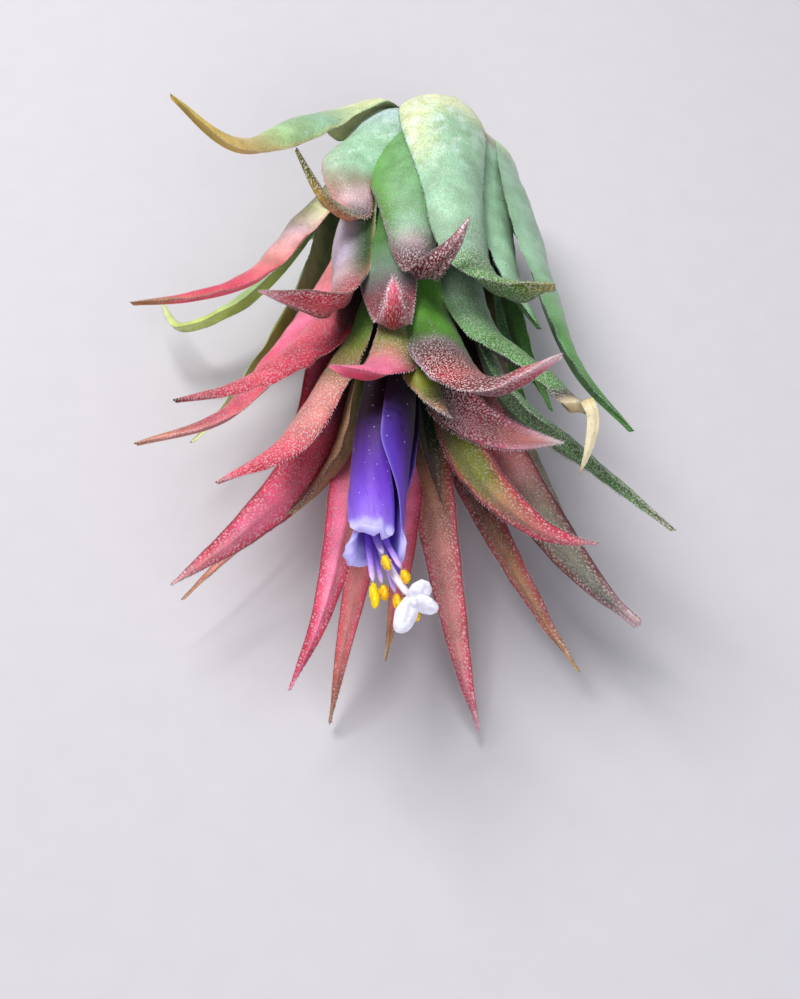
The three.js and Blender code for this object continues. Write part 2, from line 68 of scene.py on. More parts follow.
# The finer form of the leaves
FACE_COLUMNS = 12           # across each face of a leaf
RING_STEP = 0.42            # along a leaf
RING_CROWDING = (1.5, 0.35) # the power and share by which rings crowd towards the tip
FEWEST_RINGS = 40
PLUMP = 0.37                # radians that a sheath's edges turn in beyond the bulb's round
TIP_LENGTH = 0.5
OPENING_START = 0.85        # the share of its sheath at which a leaf starts to narrow
THINNING = 0.8              # how a leaf thins towards its edges
THIN_EDGE = 0.35            # a narrow blade is this thick,
THIN_SHARE = 0.55           # and this share of its half width more
WAVE_SPAN = (0.05, 0.3)     # where along a blade its edges start to wave
BROAD_SWELL = (2.6, 0.09)   # size and height of the unevenness of a face
FINE_SWELL = (0.9, 0.035)
EDGE_WAVE = (1.5, 0.1)      # size and height of the waves of an edge
RIM_WIDTH = 0.3             # of the coloured edges
RIM_STRENGTH = 0.85
HAIR_STEP = 0.27            # between the hairs of an edge
HAIR_LENGTH = 0.26
HAIR_RADIUS = 0.075
HAIR_WHITE = 0.55
HAIR_START = 0.04           # the share of a blade before its first hair
HAIR_END = 0.995            # the share of a leaf with its last hair
HAIR_JITTER = 0.3           # of the step
HAIR_LEAN = 0.9             # towards the tip
HAIR_SCATTER = 0.25
HAIR_RANGE = (0.6, 1.3)     # of length
LOWEST_HAIR = 0.02          # no hair goes below this height

# Where along a blade, of length 1, it takes its roll, its last roll, its fold and its thickness
ROLL_SPAN = (-0.1, 0.35)
END_ROLL_SPAN = (0.35, 0.8)
FOLD_SPAN = (0, 0.45)
THICKNESS_SPAN = (0, 0.25)

# Painted shade: leaves are darkened where they crowd round the flower, as if in shadow there: near the axis,
# between two heights on it
PAINTED_RECESS_SHADE = 0.93
RECESS_OUT = (8, 4.5)
RECESS_START = (14, 22)
RECESS_END = (46, 36)

# How far the patterns on an inner face, a petal's inner face and the dry tip are moved
INNER_SHIFT = 40
PETAL_SHIFT = 20
DRY_TIP_SHIFT = 80

# dark is painted shade: the near black of inner faces and of leaves deep round the flower that lie in shadow
SHADES = {
    "cream": "E6EEBE", "bloom": "BFD8DA", "mint": "A8D2B2", "celadon": "9CC2A6", "pale": "AFCF96",
    "leaf": "64A050", "fresh": "68A838", "deep": "437C36", "dark": "1F3A18", "olive": "6F7424",
    "moss": "98A038", "lime": "CBDD72", "straw": "E3E9B8", "tan": "BC8C66", "sand": "CDB47F",
    "beige": "A9A28E", "yellow": "D2B846", "orange": "DC8446", "amber": "7A4216", "coral": "EA5A78",
    "scarlet": "CE4050", "crimson": "D8345E", "pink": "F484A8", "rose": "CC6678", "salmon": "E69894",
    "mauve": "A08C92", "lilac": "CCBED6", "blush": "E6C8D0", "maroon": "6E2C38", "wine": "983A4C",
    "brown": "744232", "umber": "54403A", "white": "F3F1F2", "parchment": "F4E8C6", "grey": "8C9084",
}

# The leaves, row by row from the outside. A leaf has the azimuth of its sheath (at), its width,
# and the stations of its neck and blade. open is the share of the blade over which it narrows from
# the sheath, taper how long it stays broad, end its width at the tip, fold half the angle of its
# channel, and roll and end_roll how far it turns about its own length, first and last. dead_tip has
# the stations of a dry tip. shade is how much painted shade it takes round the flower, standing in
# for the shadow there.
# Its colours run down the outer face (outside) and the inner one (inside), along both edges (rim),
# and left, right or in the middle. scales says how thick its white scales are, crisp how sharply
# they stand out, and bloom how chalky it is. Places run from -1 at the base, over 0 where the
# blade comes free, to 1 at the tip. A number after a shade says how much of it shows.
LEAF_DEFAULTS = dict(
    roll=0, open=0.22, fold=55, taper=2.4, end=0.3, shade=1, neck=[],
    scales="0 .1, 1 .4", crisp="0 .2, 1 .45", bloom="-1 .3, 0 .2, .4 0",
)
PLAIN_GREEN = dict(
    outside="-1 cream, -.2 mint, .1 celadon, .6 celadon, 1 leaf",
    inside="0 celadon, .6 leaf, 1 leaf",
)
OUTER_ROW = [
    dict(
        at=316, width=6.4, roll=52, open=0.15, neck=[(3.6, 10.2, 314)],
        blade=[(9, 14.4, 308), (18, 20.5, 303), (17.5, 28, 303)],
        outside="-1 cream, -.3 cream, .05 straw, .25 celadon, .5 pale, .68 sand, .85 yellow, .96 yellow, "
        "1 umber",
        inside="0 straw, .25 sand, .5 orange, .75 yellow, 1 brown", rim="0 pale, .6 sand, 1 yellow",
        # The underside near the bulb is lightened to straw: painted light against the shade that falls there
        left="-1 cream 1, -.05 straw 1, .15 straw .6, .3 pale 0", scales="0 .1, 1 .1",
        bloom="-1 .3, .3 .5, .6 0",
    ),
    dict(
        at=14, width=7.2, roll=-10, end_roll=-14, open=0.42, fold=58, taper=6.5, end=1.6,
        blade=[(21, 10.4, 27), (28.2, 10.2, 43), (32.8, 12.4, 51), (35.9, 17.2, 55)],
        outside="-1 cream, -.25 cream, -.06 straw, .08 mint, .5 mint, .62 celadon, .72 leaf, .86 fresh, "
        ".94 moss, 1 sand",
        inside="0 leaf, .5 leaf, .66 leaf, .88 fresh, .95 moss, 1 sand",
        rim="-.3 cream, .1 mint, .5 mint, .8 leaf, 1 moss",
        left="-.4 cream 1, .05 cream 1, .2 cream .7, .36 mint 0",
        right="-.5 grey .3, .2 leaf .2, .5 leaf 0", scales="-.2 .1, .2 .3, .5 .6, .7 1.1, 1 1.2",
        crisp="-.2 .1, .5 .1, .62 .3, .72 .6, .92 .6, 1 .3", bloom="-1 .2, -.2 .8, .2 .7, .5 .3, .7 0",
    ),
    dict(
        at=80, width=6.2, roll=-15, open=0.5,
        blade=[(14, 12.4, 77), (27, 14.7, 75), (41, 18, 75), (49.5, 22, 75)],
        outside="-1 cream, -.4 cream, 0 celadon, .4 celadon, .7 leaf, 1 deep",
        inside="0 leaf, .6 deep, 1 deep", rim="0 celadon, 1 deep", scales="0 .1, 1 .25",
        bloom="-1 .2, .3 .3, .7 0",
    ),
    dict(
        at=134, width=5.4, fold=50, blade=[(16, 12.4, 132), (26, 14.6, 129), (34, 18, 127)], **PLAIN_GREEN,
    ),
    dict(
        at=187, width=5.4, fold=45, blade=[(18, 11.3, 184), (28, 12.6, 182), (38, 15, 181)], **PLAIN_GREEN,
    ),
    dict(
        at=240, width=5.0, roll=20, fold=50,
        blade=[(14, 12.4, 241), (26, 15, 243), (36, 19, 244), (40.5, 21, 246)],
        outside="-1 cream, -.2 cream, .25 mint, .5 lime, 1 straw",
        inside="0 cream, .3 cream, .5 lime, 1 straw",
    ),
]
SECOND_ROW = [
    dict(
        at=328, width=6.2, roll=38, open=0.5, taper=1.9,
        blade=[(17, 10.3, 321), (21.5, 8.6, 321), (23.6, 11.8, 320), (21, 16.6, 319)],
        outside="-1 cream, -.5 bloom, -.1 bloom, .12 mint, .34 mint, .44 beige, .52 blush, .6 mauve, "
        ".7 beige, .82 moss, 1 moss",
        inside="0 leaf, .4 salmon, .62 orange, .78 yellow, .9 moss, 1 olive",
        rim="0 mint, .5 salmon, .7 sand, 1 olive",
        left="0 mint 0, .5 salmon .3, .62 orange 1, .8 yellow 1, 1 moss .6",
        scales="-.2 .05, .3 .15, .5 .5, .6 .9, 1 .8", crisp="0 .2, .5 .4, .7 .9, 1 .9",
        bloom="-1 .3, 0 .6, .3 .6, .5 .2, .6 0",
    ),
    dict(
        at=55, width=7.4, roll=-20, open=0.6, blade=[(20, 10.4, 66), (28, 11.8, 70), (35, 14, 73)],
        outside="-1 cream, -.5 cream, -.1 beige, .02 mint, .6 mint, .85 celadon, 1 leaf",
        inside="0 leaf, 1 deep", scales="0 .1, .5 .3, 1 .4", bloom="-1 .2, 0 .6, .5 .3, 1 .1",
    ),
    dict(
        at=106, width=5.2, fold=50, blade=[(16, 11.2, 108), (27, 13.5, 110), (35, 16.5, 111)],
        **PLAIN_GREEN,
    ),
    dict(
        at=158, width=5.2, fold=50, blade=[(16, 12, 153), (25, 15.5, 147), (32, 18.4, 145)], **PLAIN_GREEN,
    ),
    dict(
        at=212, width=5.2, fold=50, blade=[(16, 12, 212), (25, 15.5, 213), (32, 18.4, 215)], **PLAIN_GREEN,
    ),
    dict(
        at=266, width=5.0, roll=40, blade=[(12, 12, 260), (20, 17.6, 252), (24, 24, 252), (19, 28, 252)],
        outside="-1 cream, -.2 mint, .3 celadon, .5 pale, .7 lime, 1 straw",
        inside="0 pale, .6 lime, 1 straw",
    ),
]
THIRD_ROW = [
    dict(
        at=355, width=6.4, open=0.35, taper=2.2, neck=[(16.5, 8.9, 355)],
        blade=[(25, 8, 4), (31.3, 7.7, 17), (31.2, 10.8, 25), (29.5, 13.4, 27)],
        outside="-1 cream, -.6 celadon, -.3 leaf, .3 leaf, .42 celadon, .54 mauve, .64 wine, .8 wine, "
        ".93 rose, 1 blush",
        inside="0 deep, .35 olive, .45 maroon, .8 wine, 1 blush", rim="0 leaf, .4 mauve, .6 wine, 1 blush",
        left="-.4 fresh 0, -.2 fresh .5, .3 fresh .6, .48 leaf .2, .55 leaf 0",
        # A pale stripe down the middle: partly its silvery scales, partly a painted highlight along its
        # rounded back
        middle="-.6 mint .2, 0 mint .3, .2 mint .5, .4 mint .6, .52 blush .5, .6 lilac .2, .65 mauve 0",
        scales="-.5 .1, 0 .2, .3 .6, .5 .9, 1 1", crisp="-.2 .2, .45 .15, .56 .5, .62 1, 1 1",
        bloom="-1 .2, .1 .3, .3 0",
    ),
    dict(
        at=66, width=7.6, roll=-35, open=0.35, fold=60, end=3.6, neck=[(18, 7.7, 66)],
        blade=[(25, 7, 67), (34, 9.4, 69), (42, 15, 70), (47, 17.9, 70)],
        dead_tip=[(46.9, 18.3, 69), (48.2, 18.7, 72), (49.8, 18.1, 78), (51.4, 17.2, 84)],
        outside="-1 cream, -.4 celadon, 0 leaf, .3 celadon, .6 leaf, .9 leaf, .95 umber, 1 parchment",
        # The inner face is dark with painted shade, where it lies in shadow
        inside="0 dark, .93 dark, 1 sand", rim="0 leaf, .85 leaf, .95 umber, 1 parchment",
        scales="-.2 .3, .2 .7, .6 .9, .92 .9, 1 .3", crisp="0 .2, .4 .3, 1 .6",
    ),
    dict(
        at=122, width=4.8, neck=[(18, 9.2, 122)], blade=[(28, 11.6, 122), (38, 16, 122), (45, 20.8, 122)],
        outside="-1 cream, -.2 celadon, .3 beige, 1 beige", inside="0 olive, .5 beige, 1 beige",
    ),
    dict(
        at=180, width=5.0, fold=45, neck=[(20, 9, 180)], blade=[(32, 9.8, 180), (44, 12, 181)],
        **PLAIN_GREEN,
    ),
    dict(
        at=232, width=3.4, neck=[(20, 9.2, 229)],
        blade=[(32, 11, 226), (42, 13.3, 223), (48, 17, 226), (55.4, 22.5, 231)],
        outside="-1 cream, -.2 celadon, .2 rose, .5 pink, .8 salmon, 1 tan",
        inside="0 rose, .5 pink, .8 salmon, 1 tan",
    ),
    dict(
        at=288, width=5.6, roll=50, open=0.35,
        blade=[(19, 12.2, 281), (27.5, 15.1, 280), (32.6, 19.9, 280), (35.8, 24.9, 280)],
        outside="-1 cream, -.2 mint, .1 pale, .24 straw, .36 blush, .52 salmon, .68 coral, .85 coral, "
        ".94 tan, 1 tan",
        inside="0 tan, .3 orange, .5 coral, .85 coral, .95 tan, 1 brown",
        rim="0 pale, .4 salmon, .7 coral, .9 tan, 1 tan", scales="0 .1, .5 .25, 1 .3",
        bloom="-1 .2, .3 .5, .5 0",
    ),
]
FOURTH_ROW = [
    dict(
        at=308, width=6.2, roll=20, end_roll=-12, open=0.35, fold=65, taper=3.2, neck=[(16, 7.6, 308)],
        blade=[(21, 7.8, 308), (28, 7.3, 309), (33.6, 7.9, 310), (36.5, 11.4, 309), (39, 15, 308)],
        outside="-1 cream, -.3 pale, .05 blush, .2 lilac, .4 lilac, .5 blush, .6 rose, .7 scarlet, "
        ".9 rose, 1 blush",
        inside="0 olive, .5 orange, .65 coral, .85 coral, 1 blush", rim="0 pale, .5 tan, .7 rose, 1 blush",
        right="-.3 leaf 1, .1 deep 1, .4 deep 1, .5 olive .8, .6 tan 0",
        scales="-.2 .1, .2 .4, .45 .6, .7 .95, 1 .9", crisp="0 .1, .5 .2, .62 .8, 1 .9",
        bloom="-1 .2, 0 .5, .3 .5, .5 0",
    ),
    dict(
        at=40, width=8.2, roll=-28, end_roll=-42, fold=52, taper=3.2, shade=0.3,
        neck=[(18, 6.4, 44), (29, 5, 49)], blade=[(38.6, 6.9, 50), (46.2, 11.8, 50), (48.1, 19.2, 50)],
        outside="-1 leaf, -.3 fresh, .28 fresh, .35 mauve, .43 wine, .6 scarlet, .76 wine, .88 rose, "
        ".95 blush, 1 blush",
        inside="0 brown, .3 maroon, .55 wine, .75 wine, .9 rose, 1 blush",
        rim="0 fresh, .35 mauve, .5 lilac, .6 wine, .8 blush, 1 blush",
        scales="-.1 .05, .25 .15, .36 .9, .65 1.1, .8 .9, .95 .5, 1 .3", crisp="0 .2, .35 .7, .5 1, 1 .9",
    ),
    dict(
        at=88, width=6.6, roll=-15, fold=60, neck=[(20, 7.4, 88)],
        blade=[(30, 8.6, 89), (39, 11.4, 90), (47, 18.5, 90), (55, 25.4, 90)],
        outside="-1 cream, -.3 leaf, .1 deep, .6 leaf, .9 leaf, 1 beige",
        # The inner face starts dark with painted shade, where it lies in shadow near the base
        inside="0 dark, .3 deep, .9 leaf, 1 beige", rim="0 deep, .8 leaf, 1 beige",
        scales="0 .3, .3 .7, .7 .95, 1 .95", crisp="0 .5, .5 .6, 1 .6",
    ),
    dict(
        at=130, width=6.2, roll=25, fold=50, taper=3.6, end=1.2, neck=[(20, 7.4, 126)],
        blade=[(30, 8.9, 121), (41.5, 12.6, 118), (47.3, 17.2, 118), (52.7, 23.2, 118), (54.8, 27.5, 118)],
        outside="-1 cream, -.2 leaf, .3 rose, .6 mauve, 1 beige",
        inside="0 olive, .3 brown, .5 rose, .7 beige, .92 grey, 1 blush",
        rim="0 rose, .4 wine, .85 wine, 1 blush", scales="0 .2, .4 .6, 1 .9",
    ),
    dict(
        at=180, width=4.8, neck=[(22, 7.6, 183)],
        blade=[(40, 9.4, 186), (52, 11.8, 187), (58, 15.2, 188), (63.3, 20.6, 188)],
        outside="-1 cream, -.2 leaf, .3 rose, .7 salmon, 1 tan",
        inside="0 rose, .4 pink, .7 salmon, .85 salmon, 1 tan", rim="0 rose, .5 crimson, .8 coral, 1 tan",
        scales="0 .1, .5 .3, 1 .6",
    ),
    dict(
        at=222, width=8.0, roll=-20, fold=50, neck=[(20, 7.4, 230)],
        blade=[(33, 7.8, 236), (46.5, 9, 237), (52.2, 13.5, 239), (57, 20.5, 240)],
        outside="-1 cream, -.3 leaf, .1 rose, .4 pink, .65 crimson, .85 coral, 1 salmon",
        inside="0 rose, .25 coral, .4 pink, .6 coral, .8 pink, 1 salmon",
        rim="0 coral, .4 crimson, .9 crimson, 1 blush", scales="0 .1, .3 .3, .6 .75, 1 .9",
    ),
    dict(
        at=264, width=6.6, roll=62, neck=[(18, 7.8, 263)],
        blade=[(28.5, 10, 262), (36, 12.6, 262), (42.5, 15.5, 262), (46.6, 22.8, 262)],
        outside="-1 cream, -.3 celadon, .1 salmon, .35 pink, .6 coral, .8 rose, .95 tan, 1 tan",
        inside="0 rose, .4 coral, .8 rose, 1 tan", rim="0 rose, .5 scarlet, .9 salmon, 1 tan",
        scales="0 .1, .5 .3, 1 .6",
    ),
]
FIFTH_ROW = [
    dict(
        at=336, width=6.4, fold=38, taper=3.6, shade=0.6, neck=[(18, 6.2, 338)],
        blade=[(25.5, 5.9, 340), (32, 5.6, 350), (36.6, 5.6, 0), (36.6, 7.6, 0), (34.6, 8.8, 358)],
        outside="-1 leaf, 0 leaf, .3 leaf, .46 celadon, .58 mauve, .68 rose, .85 scarlet, .95 blush, "
        "1 blush",
        inside="0 brown, .5 wine, .65 scarlet, .85 scarlet, .94 pink, 1 blush",
        rim="0 leaf, .4 mauve, .65 wine, .8 blush, 1 blush", scales="0 .1, .3 .4, .6 .7, .7 1, 1 .8",
        crisp="0 .2, .55 .3, .7 .9, 1 1",
    ),
    dict(
        at=64, width=7.2, roll=28, open=0.1, fold=48, taper=2.7, neck=[(20, 5.6, 69), (30, 4.3, 79)],
        blade=[(38.5, 5.0, 77), (45.2, 8.7, 75), (48.4, 12.4, 75), (50, 16.3, 75)],
        outside="-1 leaf, 0 amber, .2 amber, .36 brown, .48 wine, .62 rose, .78 salmon, .94 salmon, "
        "1 white",
        inside="0 amber, .28 amber, .4 brown, .52 wine, .66 rose, .8 salmon, .96 salmon, 1 white",
        rim="0 brown, .25 wine, .5 scarlet, .75 pink, 1 white",
        scales="0 .1, .22 .6, .36 2.4, .6 2.4, .75 1.3, .86 .5, 1 .4",
        crisp="0 .3, .35 .9, .6 .9, .8 .6, 1 .5",
    ),
    dict(
        at=104, width=6.4, roll=18, fold=50, neck=[(20, 5.9, 105), (32, 5.8, 103)],
        blade=[(44.6, 7.9, 101), (51, 11.8, 100), (54, 16, 100), (54, 19.7, 100)],
        outside="-1 leaf, 0 rose, .4 wine, 1 rose",
        inside="0 olive, .4 olive, .5 moss, .6 moss, .7 tan, .88 rose, 1 rose",
        rim="0 moss, .3 scarlet, .5 crimson, .9 crimson, 1 blush", scales="0 .1, .3 .6, .6 .8, 1 .9",
    ),
    dict(
        at=146, width=4.8, fold=60, neck=[(20, 6.1, 141), (31, 7.2, 135)],
        blade=[(42.7, 10.9, 131), (50, 16.4, 130), (54.7, 21.8, 131), (57.6, 25.6, 131)],
        outside="-1 leaf, 0 wine, .6 rose, 1 sand",
        inside="0 umber, .3 umber, .5 brown, .72 tan, .85 tan, 1 sand",
        rim="0 wine, .5 wine, .8 rose, 1 sand", middle="0 brown 0, .3 brown .5, .8 brown .5, 1 sand .5",
        scales="0 .1, .4 .5, 1 .8",
    ),
    dict(
        at=186, width=4.4, neck=[(20, 6.2, 178), (30, 7.2, 170)],
        blade=[(45, 9.5, 165), (54, 11.1, 167), (61.8, 12.5, 171)],
        outside="-1 leaf, 0 rose, .5 coral, .85 rose, 1 sand",
        inside="0 rose, .4 pink, .75 pink, .9 rose, 1 sand", rim="0 wine, .6 scarlet, .9 tan, 1 sand",
    ),
    dict(
        at=228, width=5.4, neck=[(20, 6.1, 220), (31, 6.4, 212)],
        blade=[(43, 7.3, 208), (53.5, 6.9, 208), (62, 8, 208), (67, 12, 208)],
        outside="-1 leaf, 0 rose, .4 coral, .7 coral, 1 pink",
        inside="0 olive, .2 tan, .36 salmon, .55 pink, .75 pink, 1 pink",
        rim="0 coral, .3 crimson, .9 crimson, 1 pink", left="0 olive .6, .3 tan .9, .6 tan .8, .85 coral 0",
        right="0 pink .5, .4 pink .8, .8 pink .6, 1 pink 0", scales="0 .1, .4 .4, .7 .6, 1 .8",
    ),
    dict(
        at=282, width=6.8, roll=64, fold=60, neck=[(20, 6, 282)],
        blade=[(30.2, 6.4, 282), (38.2, 9.6, 282), (43.8, 13.3, 282), (48, 18.4, 282)],
        outside="-1 leaf, -.3 mauve, .1 rose, .3 rose, .5 coral, .8 coral, .95 rose, 1 umber",
        inside="0 orange, .3 orange, .5 coral, .8 scarlet, .95 rose, 1 umber",
        rim="0 rose, .4 scarlet, .7 crimson, .95 rose, 1 umber",
        left="-.3 salmon 0, .2 pink .5, .5 pink .5, .8 pink 0", scales="-.1 .1, .2 .4, .5 .6, .8 .9, 1 .6",
    ),
]
INNER_ROW = [
    dict(
        at=156, width=5.4, fold=45, neck=[(20, 4.9, 153), (30, 5.8, 150)],
        blade=[(41, 8.8, 150), (50.5, 12.9, 150), (58.3, 18, 151), (63, 22.8, 152)],
        outside="-1 leaf, 0 rose, .5 coral, 1 rose",
        # The inner face starts dark with painted shade, where it lies in shadow near the flower
        inside="0 dark, .14 dark, .26 umber, .38 tan, .6 salmon, .8 salmon, .94 pink, 1 rose",
        rim="0 wine, .3 crimson, .9 crimson, 1 blush", scales="0 .1, .3 .5, .5 1.1, 1 1",
        crisp="0 .1, .5 .2, 1 .3",
    ),
    dict(
        at=224, width=7.2, roll=22, end_roll=56, fold=46, shade=0.1, neck=[(20, 4.8, 228), (30, 4.1, 230)],
        blade=[(40, 4.8, 234), (46.6, 6.6, 232), (51.5, 11.3, 232)],
        outside="-1 leaf, 0 moss, .3 moss, .5 sand, .8 tan, 1 sand",
        inside="0 moss, .45 moss, .6 sand, .8 tan, 1 sand", rim="0 tan, .5 tan, .9 brown, 1 sand",
        scales="0 .1, .5 .2, .75 .6, 1 .9",
    ),
    dict(
        at=290, width=6.6, roll=42, end_roll=76, shade=0.1, neck=[(20, 4.8, 282), (30, 4.2, 276)],
        blade=[(40.0, 6.3, 274), (48.2, 8.3, 272), (54.2, 13.4, 272)],
        outside="-1 leaf, -.2 fresh, .12 fresh, .24 moss, .36 tan, .48 salmon, .6 salmon, .74 coral, "
        "1 coral",
        inside="0 moss, .4 orange, .6 scarlet, 1 coral",
        rim="0 fresh, .3 tan, .5 scarlet, .9 crimson, 1 blush",
        scales="-.1 .1, .15 .4, .35 .95, .7 .95, 1 .9",
    ),
    dict(
        at=20, width=3.8, fold=50, neck=[(20, 4.6, 22)], blade=[(27, 3.6, 26), (31, 3.5, 30)],
        **PLAIN_GREEN,
    ),
]
HEART_ROW = [
    dict(
        at=340, width=5.4, fold=52, taper=5, end=0.6, shade=0.1, neck=[(22, 3.8, 350), (31, 4, 9)],
        blade=[(36.5, 4.1, 14), (40.6, 4.6, 0), (43.8, 6.0, 340), (45.2, 8.2, 324)],
        outside="-1 leaf, -.2 fresh, .12 moss, .42 moss, .52 tan, .58 salmon, .68 pink, 1 pink",
        inside="0 olive, .4 orange, .6 scarlet, 1 coral", rim="0 moss, .4 tan, .6 coral, 1 pink",
        right="-.2 olive .5, .2 moss .9, .45 moss .8, .6 tan 0",
        scales="0 .3, .25 .8, .5 .9, .66 .5, .75 .1, 1 .1",
    ),
    dict(
        at=62, width=4.6, roll=-35, taper=3.4, shade=0.6, neck=[(22, 3.8, 55), (32, 3.8, 48)],
        blade=[(38.5, 3.9, 43), (43.5, 5.2, 53), (47.5, 7.1, 59)],
        outside="-1 olive, 0 olive, .35 olive, .6 moss, .78 olive, .88 tan, 1 mauve",
        inside="0 olive, .6 olive, 1 mauve", rim="0 olive, .6 tan, 1 mauve",
        scales="0 0, .65 .05, .8 .6, 1 1", crisp="0 .2, .7 .6, 1 .9",
    ),
    dict(
        at=150, width=3.6, fold=50, neck=[(22, 3.6, 142), (32, 4.2, 138)],
        # The whole leaf is dark with painted shade, as it lies in shadow beside the flower
        blade=[(42.5, 6.4, 136), (48.5, 8.3, 136)], outside="-1 leaf, 0 dark, 1 umber",
        inside="0 dark, .5 dark, .85 umber, 1 brown", rim="0 dark, .6 dark, 1 brown", scales="0 0, 1 .2",
    ),
]
LEAF_ROWS = {
    "outer": OUTER_ROW,
    "second": SECOND_ROW,
    "third": THIRD_ROW,
    "fourth": FOURTH_ROW,
    "fifth": FIFTH_ROW,
    "inner": INNER_ROW,
    "heart": HEART_ROW,
}
LEAVES = {name: [{**LEAF_DEFAULTS, **leaf} for leaf in row] for name, row in LEAF_ROWS.items()}

# The dry tip of a leaf
DRY_TIP_GRID = (26, 16)     # rings and columns
DRY_TIP_HALF = 0.68
DRY_TIP_ANGLE = 0.9
DRY_TIP_THICKNESS = 0.45
DRY_TIP_ROUNDING = 0.93     # the share of its length at which its end starts to round off
DRY_TIP_UP = (0.1, 0.85, 0.5)
DRY_TIP_SHADES = "0 sand, .15 parchment, .85 parchment, .96 tan, 1 tan"

# The flower
FLOWER_LEAN = 0.7
LIP_START = 58.6
LIP_ROUNDING = 0.06
LIP_RUFFLE = 0.34
LIP_NICKS = 0.012           # how far the lip is cut back where it ruffles
RUFFLE_SIZE = 0.45
PETAL_AZIMUTHS = (300, 60, 180)
PETAL_END = 0.012           # the share of a petal on which its end rounds off
PETAL_HALF = 66             # degrees to each side
PETAL_HALF_WIDTH = 2.6
PETAL_THICKNESS = 0.5
PETAL_LEAN = 0.45
PETAL_TWIST = 60            # degrees, as the petals wind round each other to the lip
PETAL_TWIST_START = 48.5
PETAL_RINGS = 110
PETAL_COLUMNS = 36
PETAL_CROWDING = 1.6        # the power by which rings crowd towards the lip
PETAL_RIBS = (0.03, 9)      # height and closeness of the fine ribs
PETAL_FLARES = (1.0, 0.45, 0.8)
MOUTH = (58.2, 2.15)
PETAL_PROFILE = [
    (20.1, 2.1), (30, 2), (38, 2.25), (44, 2.6), (49, 2.55), (54, 2.25), MOUTH, (59.8, 2.6), (60, 3.3),
]
# The petals' own violet, darkened to near black towards the base by painted shade where the tube lies in
# shadow among the leaves
PETAL_VIOLET_AND_SHADE = "30 0C0418, 45 1C0628, 48.5 421A70, 52 6034A8, 55.5 8052D2, 58.6 A080EC"
OVERLAP_SHADE = "6A4EC8"
PETAL_EDGE_SHADE = "9C90EE"
LIP_SHADE = "C4BEFC"

THREAD_GRID = (48, 14)      # rings and columns
THREAD_STEPS = [STEM_TOP + 0.3, 38, 52, 57.8]
STAMEN_RING = 0.7
FILAMENT_HALVES = [0.2, 0.2, 0.22, 0.3, 0.33, 0.3, 0.24]
FILAMENT_FLATNESS = 0.6
FILAMENT_SHADES = "0 6434C0, .8 6E3CC8, .9 8A5CDC, .97 B89CF0, 1 E9DDF0"
ANTHER_WIDTHS = (0.42, 0.36)
ANTHER_GROOVE = 0.22
POLLEN_GRAINS = 70
GRAIN_RADII = (0.035, 0.06)
GRAIN_REACH = (0.41, 0.38, 0.97)    # across, the other way across, and along as a share
POLLEN_LIGHT = "FFDE50"
STAMENS = [
    dict(azimuth=30, end=(3.3, 0.5, 62.4), anther=0.7, pollen="FFCC0A"),
    dict(azimuth=90, end=(4.3, -1.9, 64), anther=0.7, pollen="FFC60A"),
    dict(azimuth=150, end=(2.9, -1.3, 63.5), anther=0.9, pollen="FFD008"),
    dict(azimuth=210, end=(1.7, -1.6, 62.4), anther=0.7, pollen="FFCA08"),
    dict(azimuth=270, end=(1, -0.8, 63), anther=1.2, pollen="FFDA00"),
    dict(azimuth=330, end=(1.7, 0.9, 61.4), anther=0.8, pollen="FFD220"),
]
STYLE_HALVES = [0.2, 0.2, 0.22, 0.3, 0.34, 0.34]
STYLE_FLATNESS = 0.85
STYLE_SHADES = "0 8A7AE0, .85 B9B0F2, .95 E9E4F6, 1 F3F1F6"
STYLE_BEND = (2.3, -0.1, 61.8)
STIGMA = (4.3, -0.3, 64.6)
STIGMA_LOBES = [(5.3, 0.8, 63.8), (6.1, -0.5, 65.1), (3.5, -1.5, 66.6)]
STIGMA_SHADE = "EEF1FE"

# The stem: its outline as (out, along), and its roots as (azimuth, reach, length)
STEM_GRID = (80, 40)
STEM_OUTLINE = [
    (0.02, -2.4), (1.2, -2.4), (1.75, -1.9), (2.05, -0.9), (2.0, 0.6), (1.95, 4), (2.0, 8), (1.6, 14),
    (1.2, 19.4), (0.02, STEM_TOP),
]
STEM_SHADES = ("6B5137", "B79B72")
STEM_FOOT = -2.4
ROOTS = [(20, 1.5, 1.1), (95, 1.8, 0.8), (165, 1.4, 1.5), (230, 1.9, 0.9), (300, 1.6, 1.2)]
ROOT_HALVES = [0.45, 0.36, 0.2]
ROOT_FLATNESS = 0.9
ROOT_SHADES = "0 5B4630, .6 7A6142, 1 A58A62"

# The finishes. FLECK_ROOM and FLECK_SIZE are a slope and a start, and MOTTLE_SCALES the scale and
# detail of the broad, the fine and the patchy unevenness.
FLECK_BEND = 0.16
FLECK_ROOM = (0.95, 0.2)
FLECK_SIZE = (0.22, 0.34)
FLECK_EDGE = (1.2, 0.6)
LEAF_FLECKS = 5.0           # flecks in a millimetre
PETAL_FLECKS = 8.0
PETAL_DENSITY = -0.2045     # leaves only a stray fleck
MOTTLE_SCALES = [(420, 3), (2600, 2), (750, 4)]
BLOOM_SHADE = (0.74, 0.87, 0.82, 1)
SCALE_SHADE = (0.93, 0.90, 0.87, 1)

